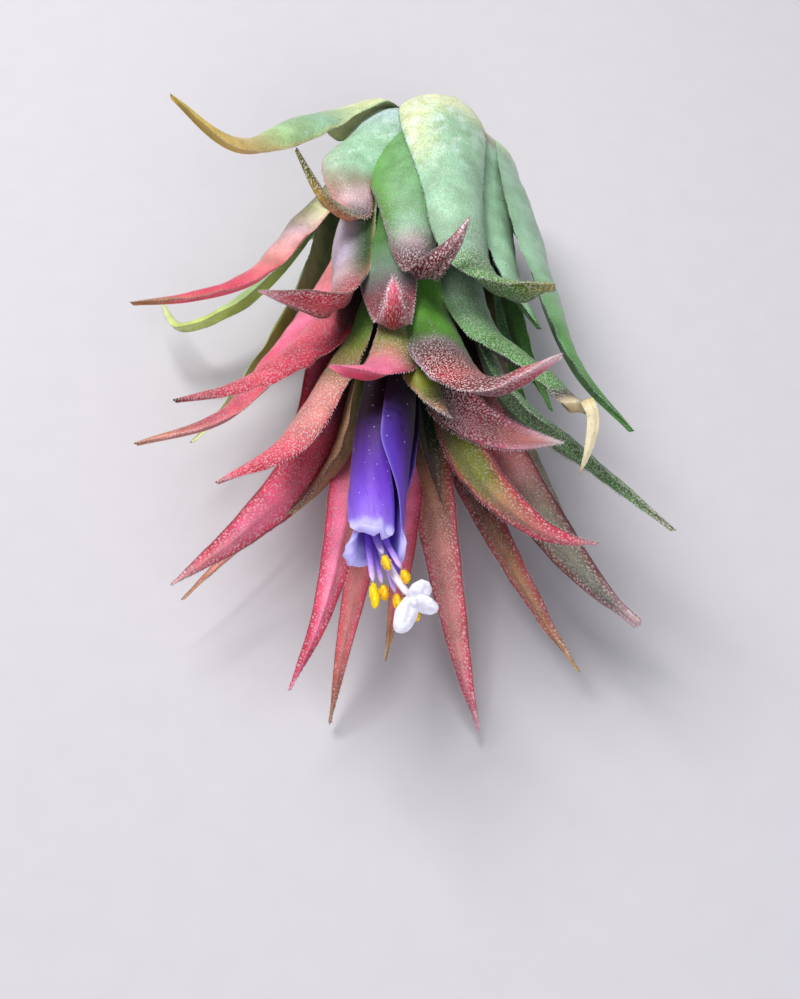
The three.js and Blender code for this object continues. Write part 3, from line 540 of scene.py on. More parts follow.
# The set: places in millimetres, sizes of the lamps in metres
CAMERA_PLACE = (-1.988, -108.196, 117.306)
CAMERA_AIM = (-1.988, -39.571, 11.634)
LAMP_AIM = (-2, -25, 12)
LAMPS = [
    dict(name="soft_key", place=(-120, 100, 320), size=0.2, power=1.25, colour=(1.0, 0.985, 0.97)),
    dict(name="front_fill", place=(100, -350, 250), size=0.3, power=0.9, colour=(0.97, 0.97, 1.0)),
]
SKY_COLOUR = (0.9, 0.9, 1.0, 1)
SKY_STRENGTH = 0.17


# Small helpers

def linear(code):
    """A hex shade as linear light."""
    parts = np.array([int(code[i:i + 2], 16) / 255 for i in (0, 2, 4)])
    return np.where(parts <= 0.04045, parts / 12.92, ((parts + 0.055) / 1.055) ** 2.4)


def smooth(x, low, high):
    """A soft rise from 0 at low to 1 at high."""
    t = np.clip((np.asarray(x, float) - low) / (high - low), 0, 1)
    return t * t * (3 - 2 * t)


def mix(a, b, share):
    return a + (b - a) * share


def read_stops(text):
    """'0 leaf, .5 tan .8' as rows of place, word and amount."""
    rows = []
    for part in text.split(","):
        place, word, *amount = part.split()
        rows.append((float(place), word, float(amount[0]) if amount else 1.0))
    return rows


def shades_at(text, place):
    """The shades of a text, by name or hex code, blended at each place."""
    rows = read_stops(text)
    colours = np.array([linear(SHADES.get(word, word)) for _, word, _ in rows])
    places = [row[0] for row in rows]
    return np.column_stack([np.interp(place, places, colours[:, k]) for k in range(3)])


def amounts_at(text, place):
    rows = read_stops(text)
    return np.interp(place, [row[0] for row in rows], [row[2] for row in rows])


def numbers_at(text, place):
    pairs = [[float(word) for word in part.split()] for part in text.split(",")]
    return np.interp(place, [pair[0] for pair in pairs], [pair[1] for pair in pairs])


def waves(places, size, seed):
    """Smooth unevenness of about -1 to 1 at places, with lumps of about the given size."""
    dice = np.random.default_rng(seed)
    total = np.zeros(len(places))
    for _ in range(7):
        heading = dice.normal(size=3)
        heading *= math.tau / (size * 2 * np.linalg.norm(heading)) * dice.uniform(0.6, 1.5)
        total += np.sin(places @ heading + dice.uniform(0, math.tau))
    return total / 3


def station(along, out, azimuth):
    turn = np.radians(azimuth)
    return np.stack(np.broadcast_arrays(out * np.sin(turn), out * np.cos(turn), along), axis=-1)


def lying_matrix():
    """Lays the upright plant down, with its low spot on the ground over the origin."""
    turn = Matrix.Rotation(math.radians(-HEADING), 4, "Z") @ Matrix.Rotation(math.radians(90 - TILT), 4, "X")
    low = turn @ Vector(station(*LOW_SPOT))
    return Matrix.Translation((-low.x, -low.y, -low.z - REST_CUT)) @ turn


LYING = np.array(lying_matrix())


def lay_down(places):
    """Plant places, laid down and kept off the ground."""
    laid = places @ LYING[:3, :3].T + LYING[:3, 3]
    laid[:, 2] = np.maximum(laid[:, 2], 0)
    return laid


class Path:
    """A smooth curve through points, read by the share of its length."""

    STEPS = 60

    def __init__(self, points):
        points = np.array(points, float)
        run = np.vstack([2 * points[0] - points[1], points, 2 * points[-1] - points[-2]])
        t = np.linspace(0, 1, self.STEPS, endpoint=False)[:, None]
        spans = []
        for x0, x1, x2, x3 in zip(run, run[1:], run[2:], run[3:]):
            d0, d1, d2 = (max(np.linalg.norm(b - a) ** 0.5, 1e-4) for a, b in ((x0, x1), (x1, x2), (x2, x3)))
            t1 = ((x1 - x0) / d0 - (x2 - x0) / (d0 + d1) + (x2 - x1) / d1) * d1
            t2 = ((x2 - x1) / d1 - (x3 - x1) / (d1 + d2) + (x3 - x2) / d2) * d1
            near = x1 + t1 * t
            spans.append(near + (3 * (x2 - x1) - 2 * t1 - t2) * t**2 + (2 * (x1 - x2) + t1 + t2) * t**3)
        self.places = np.vstack([*spans, points[-1:]])
        self.reach = np.concatenate([[0], np.cumsum(np.linalg.norm(np.diff(self.places, axis=0), axis=1))])
        self.length = self.reach[-1]

    def share_of(self, number):
        return self.reach[number * self.STEPS] / self.length

    def at(self, share):
        reach = np.asarray(share) * self.length
        columns = self.places.shape[1]
        return np.column_stack([np.interp(reach, self.reach, self.places[:, k]) for k in range(columns)])

    def heading(self, share):
        share = np.asarray(share)
        step = self.at(np.minimum(share + 0.003, 1)) - self.at(np.maximum(share - 0.003, 0))
        return step / np.linalg.norm(step, axis=1)[:, None]


# Meshes

def new_mesh():
    """A mesh whose places have a tint, and a coat of up to three amounts for its finish."""
    bm = bmesh.new()
    for name in ("Tint", "Coat"):
        bm.verts.layers.float_color.new(name)
    return bm


def paint(bm, verts, tints, coats=(0, 0, 0)):
    """Gives vertices their tints and coats, which have a row for each vertex or one for all."""
    layers = bm.verts.layers.float_color
    tint_layer, coat_layer = layers["Tint"], layers["Coat"]
    rows = (len(verts), 3)
    for vert, tint, coat in zip(verts, np.broadcast_to(tints, rows), np.broadcast_to(coats, rows)):
        vert[tint_layer] = (*tint, 1)
        vert[coat_layer] = (*coat, 1)


def sheet_grid(bm, columns, rings):
    """Adds a grid and returns its vertices in order, ring by ring."""
    verts = bmesh.ops.create_grid(bm, x_segments=columns, y_segments=rings, size=1)["verts"]
    return sorted(verts, key=lambda vert: (round(vert.co.y, 5), round(vert.co.x, 5)))


def close_up(bm, distance=1e-6):
    bmesh.ops.remove_doubles(bm, verts=bm.verts, dist=distance)
    bmesh.ops.dissolve_degenerate(bm, dist=distance / 2, edges=bm.edges)
    bmesh.ops.holes_fill(bm, edges=bm.edges, sides=0)
    bmesh.ops.recalc_face_normals(bm, faces=bm.faces)


def finish_piece(bm, name, node, material):
    mesh = bpy.data.meshes.new(name)
    bm.to_mesh(mesh)
    bm.free()
    mesh.polygons.foreach_set("use_smooth", [True] * len(mesh.polygons))
    mesh.materials.append(material)
    piece = bpy.data.objects.new(name, mesh)
    bpy.context.scene.collection.objects.link(piece)
    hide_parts(node)
    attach(piece, "root")


def each(values, columns):
    """A ring's values, once for each place round it."""
    return np.repeat(values, columns + 1, axis=0)


def round_section(columns, rings):
    """How far across a blade each place of its rings is, -1 to 1, and 1 where it is on the inner face."""
    turn = np.linspace(0, math.tau, columns + 1)
    inner = (turn > math.pi + 1e-6) & (turn < math.tau - 1e-6)
    return np.tile(-np.cos(turn), rings + 1), np.tile(inner, rings + 1).astype(float)


def cup(centre, side, inward, half_width, half_angle, v, depth):
    """Places on a section bent into a channel, v across it and depth in from its outer face."""
    curl = half_width / half_angle
    turn = half_angle * v
    places = centre + side * ((curl - depth) * np.sin(turn))[:, None]
    return places + inward * (curl - (curl - depth) * np.cos(turn))[:, None]


def wrap_sheet(bm, columns, rings, places, tints, across, along, coats=(0, 0, 0)):
    """Lays a grid round a closed section, ring by ring, and gives it its colours and its UV map.

    places, tints and coats have one row for each ring and place round the section, the last
    place being the first again. across and along are in millimetres.
    """
    uv_layer = bm.loops.layers.uv.active or bm.loops.layers.uv.new("Surface")
    verts = sheet_grid(bm, columns, rings)
    paint(bm, verts, tints, coats)
    for vert, place, spot in zip(verts, lay_down(places) * MM, zip(across, along)):
        vert.co = place
        for loop in vert.link_loops:
            loop[uv_layer].uv = spot


def add_hairs(bm, roots, headings, lengths, tints):
    """Fine closed cones, as the hairs that stand along the edges of a leaf."""
    turned = headings @ LYING[:3, :3].T
    for place, heading, length, tint in zip(lay_down(roots), turned, lengths, tints):
        direction = Vector(heading).normalized()
        middle = Vector(place) + direction * length * 0.4
        if (middle + direction * length * 0.5).z < LOWEST_HAIR:
            continue
        spot = Matrix.Translation(middle * MM) @ direction.to_track_quat("Z", "Y").to_matrix().to_4x4()
        made = bmesh.ops.create_cone(
            bm, cap_ends=True, cap_tris=True, segments=3, radius1=HAIR_RADIUS * MM, radius2=0,
            depth=length * MM, matrix=spot,
        )
        paint(bm, made["verts"], tint)


# Leaves

def half_sheath(leaf, row):
    apart = [abs((other["at"] - leaf["at"] + 180) % 360 - 180) for other in row if other is not leaf]
    return math.radians(min(WIDEST_SHEATH, SHEATH_FILL * min(apart)))


def leaf_path(leaf, row_number):
    """The curve down a leaf's outer face, and the share of it at which the blade comes free."""
    radius = BULB_RADIUS - ROW_STEP * row_number
    depth = BULB_DEPTH - BASE_STEP * row_number
    neck, blade = leaf["neck"], leaf["blade"]
    first = math.asin(FIRST_OUT / radius)
    last = math.pi / 4 if neck and neck[0][0] < BULB_MIDDLE else math.pi / 2
    turns = [mix(first, last, i / 4) for i in range(5)]
    points = [station(BULB_MIDDLE - depth * math.cos(t), radius * math.sin(t), leaf["at"]) for t in turns]
    points += [station(*place) for place in neck + blade]
    path = Path(points)
    return path, path.share_of(len(points) - 1 - len(blade))


def leaf_section(leaf, half, share, path, free):
    """Each ring's middle, side and inward directions, half width, half angle and thickness."""
    centre = path.at(share)
    along = path.heading(share)
    out = np.hypot(centre[:, 0], centre[:, 1])
    side = np.column_stack([centre[:, 1], -centre[:, 0], 0 * out]) / out[:, None]
    side -= along * np.sum(side * along, axis=1)[:, None]
    side /= np.linalg.norm(side, axis=1)[:, None]
    inward = np.cross(side, along)
    blade = np.maximum(0, (share - free) / (1 - free))
    end_roll = leaf.get("end_roll", leaf["roll"])
    turns = mix(leaf["roll"] * smooth(blade, *ROLL_SPAN), end_roll, smooth(blade, *END_ROLL_SPAN))
    roll = np.radians(turns)[:, None]
    side, inward = side * np.cos(roll) + inward * np.sin(roll), inward * np.cos(roll) - side * np.sin(roll)
    opening = smooth(share, free * OPENING_START, free + leaf["open"] * (1 - free))
    taper = np.maximum(1 - blade ** leaf["taper"], 0)
    blade_half = np.maximum(leaf["width"] * taper, leaf["end"]) / 2
    half_width = mix(out * half, blade_half, opening)
    round_bulb = np.minimum(half_width / out, 1)
    half_angle = mix(round_bulb + PLUMP, math.radians(leaf["fold"]), smooth(blade, *FOLD_SPAN))
    body = mix(SHEATH_THICKNESS, LEAF_THICKNESS, smooth(blade, *THICKNESS_SPAN))
    thickness = np.minimum(body, THIN_EDGE + half_width * THIN_SHARE)
    left = (1 - share) * path.length
    tip = np.sqrt(np.clip(1 - (1 - np.minimum(left / TIP_LENGTH, 1)) ** 2, 0, 1))
    return centre, side, inward, half_width * tip, half_angle, thickness * tip


def leaf_colours(leaf, place, v, inner, half_width, painted_shade):
    """Tint, and how thick scales and bloom are and how crisp the scales, for every place on a leaf."""
    outside = shades_at(leaf["outside"], place)
    inside = shades_at(leaf["inside"], np.maximum(place, 0))
    tint = mix(outside, inside, inner[:, None])
    middle = (1 - v * v) ** 1.5 * (1 - inner)
    sides = {"left": smooth(-v, 0.0, 0.8), "right": smooth(v, 0.0, 0.8), "middle": middle}
    for name, weight in sides.items():
        if name in leaf:
            share = weight * amounts_at(leaf[name], place)
            tint = mix(tint, shades_at(leaf[name], place), share[:, None])
    # Painted shade: the tint darkens where the leaves crowd round the flower, standing in for the shadow
    # there
    tint = tint * (1 - PAINTED_RECESS_SHADE * painted_shade)[:, None]
    if "rim" in leaf:
        from_edge = (1 - np.abs(v)) * half_width
        edge = np.exp(-(from_edge / RIM_WIDTH) ** 2)
        tint = mix(tint, shades_at(leaf["rim"], place), edge[:, None] * RIM_STRENGTH)
    # The scales fade in the painted shade too
    scales = numbers_at(leaf["scales"], place) * (1 - 0.25 * inner * (1 - v * v)) * (1 - painted_shade)
    bloom = numbers_at(leaf["bloom"], place) * (1 - inner)
    return tint, np.column_stack([scales, bloom, numbers_at(leaf["crisp"], place)])


def edge_waves(centre, blade, half_width, seed):
    """How far the edges of a blade wave in or out."""
    size, height = EDGE_WAVE
    return waves(centre, size, seed + 200) * height * smooth(blade, *WAVE_SPAN) * np.minimum(half_width, 1)


def build_leaf(row_name, number, leaf, row, material):
    row_number = list(LEAVES).index(row_name)
    seed = row_number * 10 + number
    path, free = leaf_path(leaf, row_number)
    half = half_sheath(leaf, row)
    rings = max(FEWEST_RINGS, round(path.length / RING_STEP))
    columns = 2 * FACE_COLUMNS
    steps = np.linspace(0, 1, rings + 1)
    power, crowding = RING_CROWDING
    share = mix(steps, 1 - (1 - steps) ** power, crowding)
    section = leaf_section(leaf, half, share, path, free)
    centre, side, inward, half_width, half_angle, thickness = (each(values, columns) for values in section)
    v, inner = round_section(columns, rings)
    depth = inner * thickness * (1 - v * v) ** THINNING
    places = cup(centre, side, inward, half_width, half_angle, v, depth)

    share = each(share, columns)
    blade = np.clip((share - free) / (1 - free), 0, 1)
    uneven = waves(places, BROAD_SWELL[0], seed) * BROAD_SWELL[1]
    uneven += waves(places, FINE_SWELL[0], seed + 100) * FINE_SWELL[1]
    swell = -uneven * np.minimum(half_width / 2, 1) * (1 - inner)
    wavy = edge_waves(centre, blade, half_width, seed) * np.abs(v) ** 3
    places += inward * swell[:, None] + inward * wavy[:, None]

    place = np.where(share < free, share / free - 1, (share - free) / (1 - free))
    out, height = np.hypot(places[:, 0], places[:, 1]), places[:, 2]
    # Painted shade round the flower: strongest near the axis, between two heights on it
    painted_shade = smooth(out, *RECESS_OUT) * smooth(height, *RECESS_START) * smooth(height, *RECESS_END)
    tints, coats = leaf_colours(leaf, place, v, inner, half_width, painted_shade * leaf["shade"])
    across = v * half_width + inner * INNER_SHIFT
    bm = new_mesh()
    wrap_sheet(bm, columns, rings, places, tints, across, share * path.length, coats)
    close_up(bm)
    add_edge_hairs(bm, leaf, path, free, half, seed)
    if "dead_tip" in leaf:
        add_dead_tip(bm, leaf["dead_tip"], seed)
    finish_piece(bm, f"{row_name}_leaf_{number}", f"leaf_{row_name}_{number}", material)


def add_edge_hairs(bm, leaf, path, free, half, seed):
    dice = np.random.default_rng(seed + 300)
    start = free + HAIR_START * (1 - free)
    count = int((1 - start) * path.length / HAIR_STEP)
    for edge in (-1, 1):
        jitter = dice.uniform(-HAIR_JITTER, HAIR_JITTER, count) * HAIR_STEP / path.length
        share = np.linspace(start, HAIR_END, count) + jitter
        centre, side, inward, half_width, half_angle, _ = leaf_section(leaf, half, share, path, free)
        place = (share - free) / (1 - free)
        roots = cup(centre, side, inward, half_width, half_angle, edge, 0)
        roots += inward * edge_waves(centre, place, half_width, seed)[:, None]
        turn = (half_angle * edge)[:, None]
        outward = side * np.cos(turn) * edge + inward * np.sin(turn) * edge
        lean = path.heading(share) * HAIR_LEAN
        headings = outward + lean + dice.normal(0, HAIR_SCATTER, (count, 3))
        rim = shades_at(leaf.get("rim", leaf["outside"]), place)
        tints = mix(rim, linear(SHADES["white"]), HAIR_WHITE)
        lengths = HAIR_LENGTH * dice.uniform(*HAIR_RANGE, count)
        lengths *= 0.5 + 0.5 * numbers_at(leaf["scales"], place)
        add_hairs(bm, roots, headings, lengths, tints)


def add_dead_tip(bm, stations, seed):
    """The papery dry tip that hangs from a torn end."""
    path = Path([station(*place) for place in stations])
    rings, columns = DRY_TIP_GRID
    share = np.linspace(0, 1, rings + 1)
    along = path.heading(share)
    side = np.cross(along, DRY_TIP_UP)
    side /= np.linalg.norm(side, axis=1)[:, None]
    past = (np.maximum(share, DRY_TIP_ROUNDING) - DRY_TIP_ROUNDING) / (1 - DRY_TIP_ROUNDING)
    half_width = np.maximum(DRY_TIP_HALF * (1 - share**2.2), 0.05) * np.sqrt(1 - past**2)
    half_width[0] = 0
    section = (path.at(share), side, np.cross(side, along), half_width, share)
    centre, side, inward, half_width, place = (each(values, columns) for values in section)
    v, inner = round_section(columns, rings)
    depth = inner * np.minimum(DRY_TIP_THICKNESS, half_width) * (1 - v * v)
    places = cup(centre, side, inward, half_width, DRY_TIP_ANGLE, v, depth)
    places += (waves(places, 0.8, seed) * 0.06 * np.minimum(half_width, 1))[:, None] * inward
    across = v * half_width + DRY_TIP_SHIFT
    wrap_sheet(bm, columns, rings, places, shades_at(DRY_TIP_SHADES, place), across, place * path.length)
    close_up(bm)


# Shared effects of the finishes

def new_group(name, inputs, outputs):
    group = bpy.data.node_groups.new(name, "ShaderNodeTree")
    for socket, kind in inputs:
        group.interface.new_socket(socket, in_out="INPUT", socket_type=kind)
    for socket, kind in outputs:
        group.interface.new_socket(socket, in_out="OUTPUT", socket_type=kind)
    return group, group.nodes.new("NodeGroupInput"), group.nodes.new("NodeGroupOutput")


def feed(tree, socket, value):
    """Sets a socket to a number or a shade, or links it to a node's output."""
    if isinstance(value, bpy.types.NodeSocket):
        tree.links.new(value, socket)
    else:
        socket.default_value = value


def math_node(tree, operation, *values):
    node = tree.nodes.new("ShaderNodeMath")
    node.operation = operation
    for socket, value in zip(node.inputs, values):
        feed(tree, socket, value)
    return node.outputs[0]


def ramp_node(tree, value, low, high, to_low=0.0, to_high=1.0):
    node = tree.nodes.new("ShaderNodeMapRange")
    node.interpolation_type = "SMOOTHSTEP"
    sockets = {"Value": value, "From Min": low, "From Max": high, "To Min": to_low, "To Max": to_high}
    for socket, number in sockets.items():
        feed(tree, node.inputs[socket], number)
    return node.outputs["Result"]


def mix_node(tree, share, a, b, blend="MIX"):
    node = tree.nodes.new("ShaderNodeMix")
    node.data_type = "RGBA"
    node.blend_type = blend
    for socket, value in ((0, share), (6, a), (7, b)):
        feed(tree, node.inputs[socket], value)
    return node.outputs[2]


def noise_node(tree, vector, scale, detail=2.0, output="Fac"):
    node = tree.nodes.new("ShaderNodeTexNoise")
    node.inputs["Scale"].default_value = scale
    node.inputs["Detail"].default_value = detail
    tree.links.new(vector, node.inputs["Vector"])
    return node.outputs[output]


def separate(tree, colour):
    node = tree.nodes.new("ShaderNodeSeparateColor")
    tree.links.new(colour, node.inputs[0])
    return node.outputs


def make_fleck_group():
    """Small round scales: about one in each cell of a loose pattern, where Density allows it."""
    group, into, out = new_group(
        "Scale flecks",
        [("Place", "NodeSocketVector"), ("Density", "NodeSocketFloat"), ("Cells", "NodeSocketFloat")],
        [("Mask", "NodeSocketFloat"), ("Shade", "NodeSocketFloat")],
    )
    place = into.outputs["Place"]
    bent = mix_node(group, FLECK_BEND, place, noise_node(group, place, 3.2, output="Color"), "ADD")
    cells = group.nodes.new("ShaderNodeTexVoronoi")
    cells.voronoi_dimensions = "2D"
    group.links.new(bent, cells.inputs["Vector"])
    group.links.new(into.outputs["Cells"], cells.inputs["Scale"])
    chance, variety, shade = separate(group, cells.outputs["Color"])
    room = math_node(group, "MULTIPLY_ADD", into.outputs["Density"], *FLECK_ROOM)
    kept = math_node(group, "LESS_THAN", chance, room)
    size = math_node(group, "MULTIPLY_ADD", variety, *FLECK_SIZE)
    spot = ramp_node(group, math_node(group, "DIVIDE", cells.outputs["Distance"], size), *FLECK_EDGE)
    group.links.new(math_node(group, "MULTIPLY", spot, kept), out.inputs["Mask"])
    group.links.new(shade, out.inputs["Shade"])
    return group


def make_mottle_group():
    """Uneven light and dark, and the patches of a chalky bloom."""
    group, into, out = new_group(
        "Leaf mottling",
        [("Place", "NodeSocketVector"), ("Bloom", "NodeSocketFloat")],
        [("Light", "NodeSocketFloat"), ("Patches", "NodeSocketFloat"), ("Grain", "NodeSocketFloat")],
    )
    broad, fine, patch = (noise_node(group, into.outputs["Place"], *scale) for scale in MOTTLE_SCALES)
    group.links.new(ramp_node(group, broad, 0.3, 0.7), out.inputs["Light"])
    low = math_node(group, "MULTIPLY_ADD", into.outputs["Bloom"], -0.5, 0.78)
    high = math_node(group, "ADD", low, 0.34)
    group.links.new(ramp_node(group, patch, low, high), out.inputs["Patches"])
    group.links.new(fine, out.inputs["Grain"])
    return group


FLECKS = make_fleck_group()
MOTTLE = make_mottle_group()


def new_material(name, **sockets):
    material = bpy.data.materials.new(name)
    material.use_nodes = True
    shader = material.node_tree.nodes["Principled BSDF"]
    for socket, value in sockets.items():
        shader.inputs[socket.replace("_", " ")].default_value = value
    return material, material.node_tree, shader


def attribute(tree, name):
    node = tree.nodes.new("ShaderNodeAttribute")
    node.attribute_name = name
    return node.outputs["Color"]


def where_on(tree, kind):
    """The place on a piece: Object for metres on the plant, UV for millimetres on its surface."""
    return tree.nodes.new("ShaderNodeTexCoord").outputs[kind]


def stretched(tree, across, along):
    """The place on a piece's surface, with the pattern finer by these amounts."""
    node = tree.nodes.new("ShaderNodeMapping")
    node.inputs["Scale"].default_value = (across, along, 1.0)
    tree.links.new(where_on(tree, "UV"), node.inputs["Vector"])
    return node.outputs[0]


def place_group(tree, group, **values):
    node = tree.nodes.new("ShaderNodeGroup")
    node.node_tree = group
    for socket, value in values.items():
        feed(tree, node.inputs[socket], value)
    return node.outputs


def add_bump(tree, shader, height, distance, strength):
    """Raises a pattern by a distance in millimetres."""
    bump = tree.nodes.new("ShaderNodeBump")
    bump.inputs["Distance"].default_value = distance * MM
    bump.inputs["Strength"].default_value = strength
    tree.links.new(height, bump.inputs["Height"])
    tree.links.new(bump.outputs[0], shader.inputs["Normal"])


def add_mottled_tint(tree, shader, pattern, dark):
    """The piece's tint, multiplied by a dark shade where the pattern is low."""
    tint = attribute(tree, "Tint")
    darker = mix_node(tree, 1.0, tint, dark, "MULTIPLY")
    colour = mix_node(tree, ramp_node(tree, pattern, 0.35, 0.65), darker, tint)
    tree.links.new(colour, shader.inputs["Base Color"])


def make_leaf_material():
    material, tree, shader = new_material(
        "living_leaf", Subsurface_Weight=0.12, Subsurface_Radius=(1.0, 0.6, 0.3), Subsurface_Scale=0.8 * MM,
        Sheen_Weight=0.15, Specular_IOR_Level=0.45,
    )
    scales, bloom, crisp = separate(tree, attribute(tree, "Coat"))
    mottle = place_group(tree, MOTTLE, Place=where_on(tree, "Object"), Bloom=bloom)
    flecks = place_group(tree, FLECKS, Place=stretched(tree, 1.3, 0.8), Density=scales, Cells=LEAF_FLECKS)
    tint = attribute(tree, "Tint")
    deeper = mix_node(tree, 1.0, tint, (0.74, 0.74, 0.70, 1), "MULTIPLY")
    colour = mix_node(tree, mottle["Light"], deeper, tint)
    colour = mix_node(tree, math_node(tree, "MULTIPLY", mottle["Patches"], 0.5), colour, BLOOM_SHADE)

    # Under crisp scales the leaf is richer, and the scales are nearly white
    rich = mix_node(tree, 0.85, colour, colour, "MULTIPLY")
    covered = math_node(tree, "MULTIPLY", crisp, ramp_node(tree, scales, 0.1, 0.9))
    colour = mix_node(tree, covered, colour, rich)
    shown = math_node(tree, "MULTIPLY", flecks["Mask"], ramp_node(tree, flecks["Shade"], 0, 1, 0.35, 1.0))
    strength = math_node(tree, "MULTIPLY_ADD", crisp, 0.45, 0.45)
    strength = math_node(tree, "MULTIPLY_ADD", scales, strength, 0.08)
    shown = math_node(tree, "MULTIPLY", shown, strength)
    colour = mix_node(tree, shown, colour, mix_node(tree, 0.6, tint, SCALE_SHADE))
    tree.links.new(colour, shader.inputs["Base Color"])
    tree.links.new(math_node(tree, "MULTIPLY_ADD", flecks["Mask"], -0.12, 0.5), shader.inputs["Roughness"])
    add_bump(tree, shader, math_node(tree, "MULTIPLY_ADD", mottle["Grain"], 0.35, flecks["Mask"]), 0.08, 0.8)
    return material


# Flower pieces

def flower_middle(along):
    share = (np.asarray(along, float) - STEM_TOP) / (LIP_START - STEM_TOP)
    return np.stack(np.broadcast_arrays(FLOWER_LEAN * share**2, 0 * share, along), axis=-1)


def build_petal(number, azimuth, material):
    path = Path(PETAL_PROFILE)
    v, inner = round_section(PETAL_COLUMNS, PETAL_RINGS)
    share = each(1 - (1 - np.linspace(0, 1, PETAL_RINGS + 1)) ** PETAL_CROWDING, PETAL_COLUMNS)
    across = v * PETAL_HALF_WIDTH
    ruffle = waves(np.column_stack([across, share * 0, share * 0 + number]), RUFFLE_SIZE, 40 + number)
    reach = share * (1 - LIP_ROUNDING * v * v) * (1 - LIP_NICKS * (ruffle > 0) * ruffle)
    along, radius = path.at(reach).T
    heading = path.heading(reach)
    radius = np.where(along > MOUTH[0], mix(MOUTH[1], radius, PETAL_FLARES[number - 1]), radius)
    ends = np.clip((1 - share) / PETAL_END, 0, 1) ** 0.5
    depth = inner * PETAL_THICKNESS * (1 - 0.7 * v**4) * np.sqrt(np.clip(1 - v * v, 0, 1)) ** 0.5 * ends
    lip = smooth(along, LIP_START - 0.6, LIP_START + 1.3)
    out = radius - heading[:, 0] * depth - PETAL_LEAN * v
    height, closeness = PETAL_RIBS
    out += lip * LIP_RUFFLE * ruffle + height * np.sin(closeness * v) * smooth(along, 40, 50) * (1 - lip)
    twist = PETAL_TWIST * smooth(along, PETAL_TWIST_START, LIP_START)
    places = station(0, out, azimuth + twist + PETAL_HALF * v)
    places = places + flower_middle(along + heading[:, 1] * depth)

    overlap = smooth(v, -0.2, -0.9) * smooth(along, 43, 52) * 0.5
    pale = smooth(along + 0.25 * ruffle, LIP_START - 0.7, LIP_START + 0.2)
    edge = np.exp(-((1 - np.abs(v)) * 2.4 / 0.12) ** 2) * 0.6 * smooth(along, 44, 50)
    # The petals' violet, with painted shade making it near black towards the base
    tints = shades_at(PETAL_VIOLET_AND_SHADE, along)
    for shade, amount in ((OVERLAP_SHADE, overlap), (LIP_SHADE, pale), (PETAL_EDGE_SHADE, edge)):
        tints = mix(tints, linear(shade), amount[:, None])
    coats = np.column_stack([smooth(along, 52, 44), lip, 0 * lip])
    bm = new_mesh()
    wrap_sheet(bm, PETAL_COLUMNS, PETAL_RINGS, places, tints, across + inner * PETAL_SHIFT, along, coats)
    close_up(bm)
    finish_piece(bm, f"flower_petal_{number}", f"petal_{number}", material)


def add_ribbon(bm, path, halves, flatness, shades):
    """A thread of oval section down a path, with a groove along one side."""
    rings, columns = THREAD_GRID
    share = np.linspace(0, 1, rings + 1)
    along = path.heading(share)
    side = np.cross(along, (0, 1, 0.02))
    side /= np.linalg.norm(side, axis=1)[:, None]
    half = np.interp(share, np.linspace(0, 1, len(halves)), halves)
    half = half * np.sqrt(np.clip(1 - (2 * np.abs(share - 0.5)) ** 60, 0, 1))
    section = (path.at(share), side, np.cross(side, along), half, share)
    centre, side, up, half, place = (each(values, columns) for values in section)
    turn = np.tile(np.linspace(0, math.tau, columns + 1), rings + 1)
    groove = 1 - 0.22 * np.exp(-((np.cos(turn) / 0.35) ** 2)) * (np.sin(turn) > 0)
    places = centre + side * (half * np.cos(turn))[:, None]
    places += up * (half * flatness * groove * np.sin(turn))[:, None]
    wrap_sheet(bm, columns, rings, places, shades_at(shades, place), turn * half, place * path.length)


def add_blob(bm, centre, direction, sizes, tint, seed, lump, segments, groove=0.0):
    """A rounded body with an uneven surface, long along a direction, and grooved if wanted."""
    verts = bmesh.ops.create_uvsphere(bm, u_segments=segments, v_segments=segments, radius=1)["verts"]
    turn = np.array(Vector(direction).to_track_quat("Z", "Y").to_matrix())
    balls = np.array([vert.co for vert in verts])
    shape = balls * np.array(sizes)
    shape[:, :2] *= (1 - groove * np.exp(-(balls[:, 0] / 0.25) ** 2))[:, None]
    places = shape @ turn.T + np.array(centre)
    places += balls @ turn.T * (waves(places, 0.35, seed) * lump)[:, None]
    for vert, place in zip(verts, lay_down(places) * MM):
        vert.co = place
    paint(bm, verts, tint)


def add_grain(bm, spot, radius, tint):
    place = Matrix.Translation(lay_down(np.array([spot]))[0] * MM)
    made = bmesh.ops.create_icosphere(bm, subdivisions=1, radius=radius * MM, matrix=place)
    paint(bm, made["verts"], tint)


def build_stamen(number, stamen, material):
    turn = math.radians(stamen["azimuth"])
    offset = np.array([math.sin(turn), math.cos(turn), 0]) * STAMEN_RING
    points = [flower_middle(along) + offset for along in THREAD_STEPS] + [np.array(stamen["end"])]
    bm = new_mesh()
    add_ribbon(bm, Path(points), FILAMENT_HALVES, FILAMENT_FLATNESS, FILAMENT_SHADES)
    direction = points[-1] - points[-2]
    direction /= np.linalg.norm(direction)
    anther = stamen["anther"]
    centre = points[-1] + direction * anther * 0.8
    pollen = linear(stamen["pollen"])
    add_blob(bm, centre, direction, (*ANTHER_WIDTHS, anther), pollen, 60 + number, 0.05, 24, ANTHER_GROOVE)
    across = Vector(direction).orthogonal().normalized()
    other = Vector(direction).cross(across)
    dice = random.Random(70 + number)
    wide, deep, long = GRAIN_REACH
    for _ in range(POLLEN_GRAINS):
        ball = Vector((dice.gauss(0, 1), dice.gauss(0, 1), dice.gauss(0, 1))).normalized()
        spot = centre + direction * ball.z * anther * long
        spot = spot + np.array(across) * ball.x * wide + np.array(other) * ball.y * deep
        radius = dice.uniform(*GRAIN_RADII)
        add_grain(bm, spot, radius, mix(pollen, linear(POLLEN_LIGHT), dice.uniform(0, 0.4)))
    close_up(bm, 1e-7)
    finish_piece(bm, f"flower_stamen_{number}", f"stamen_{number}", material)


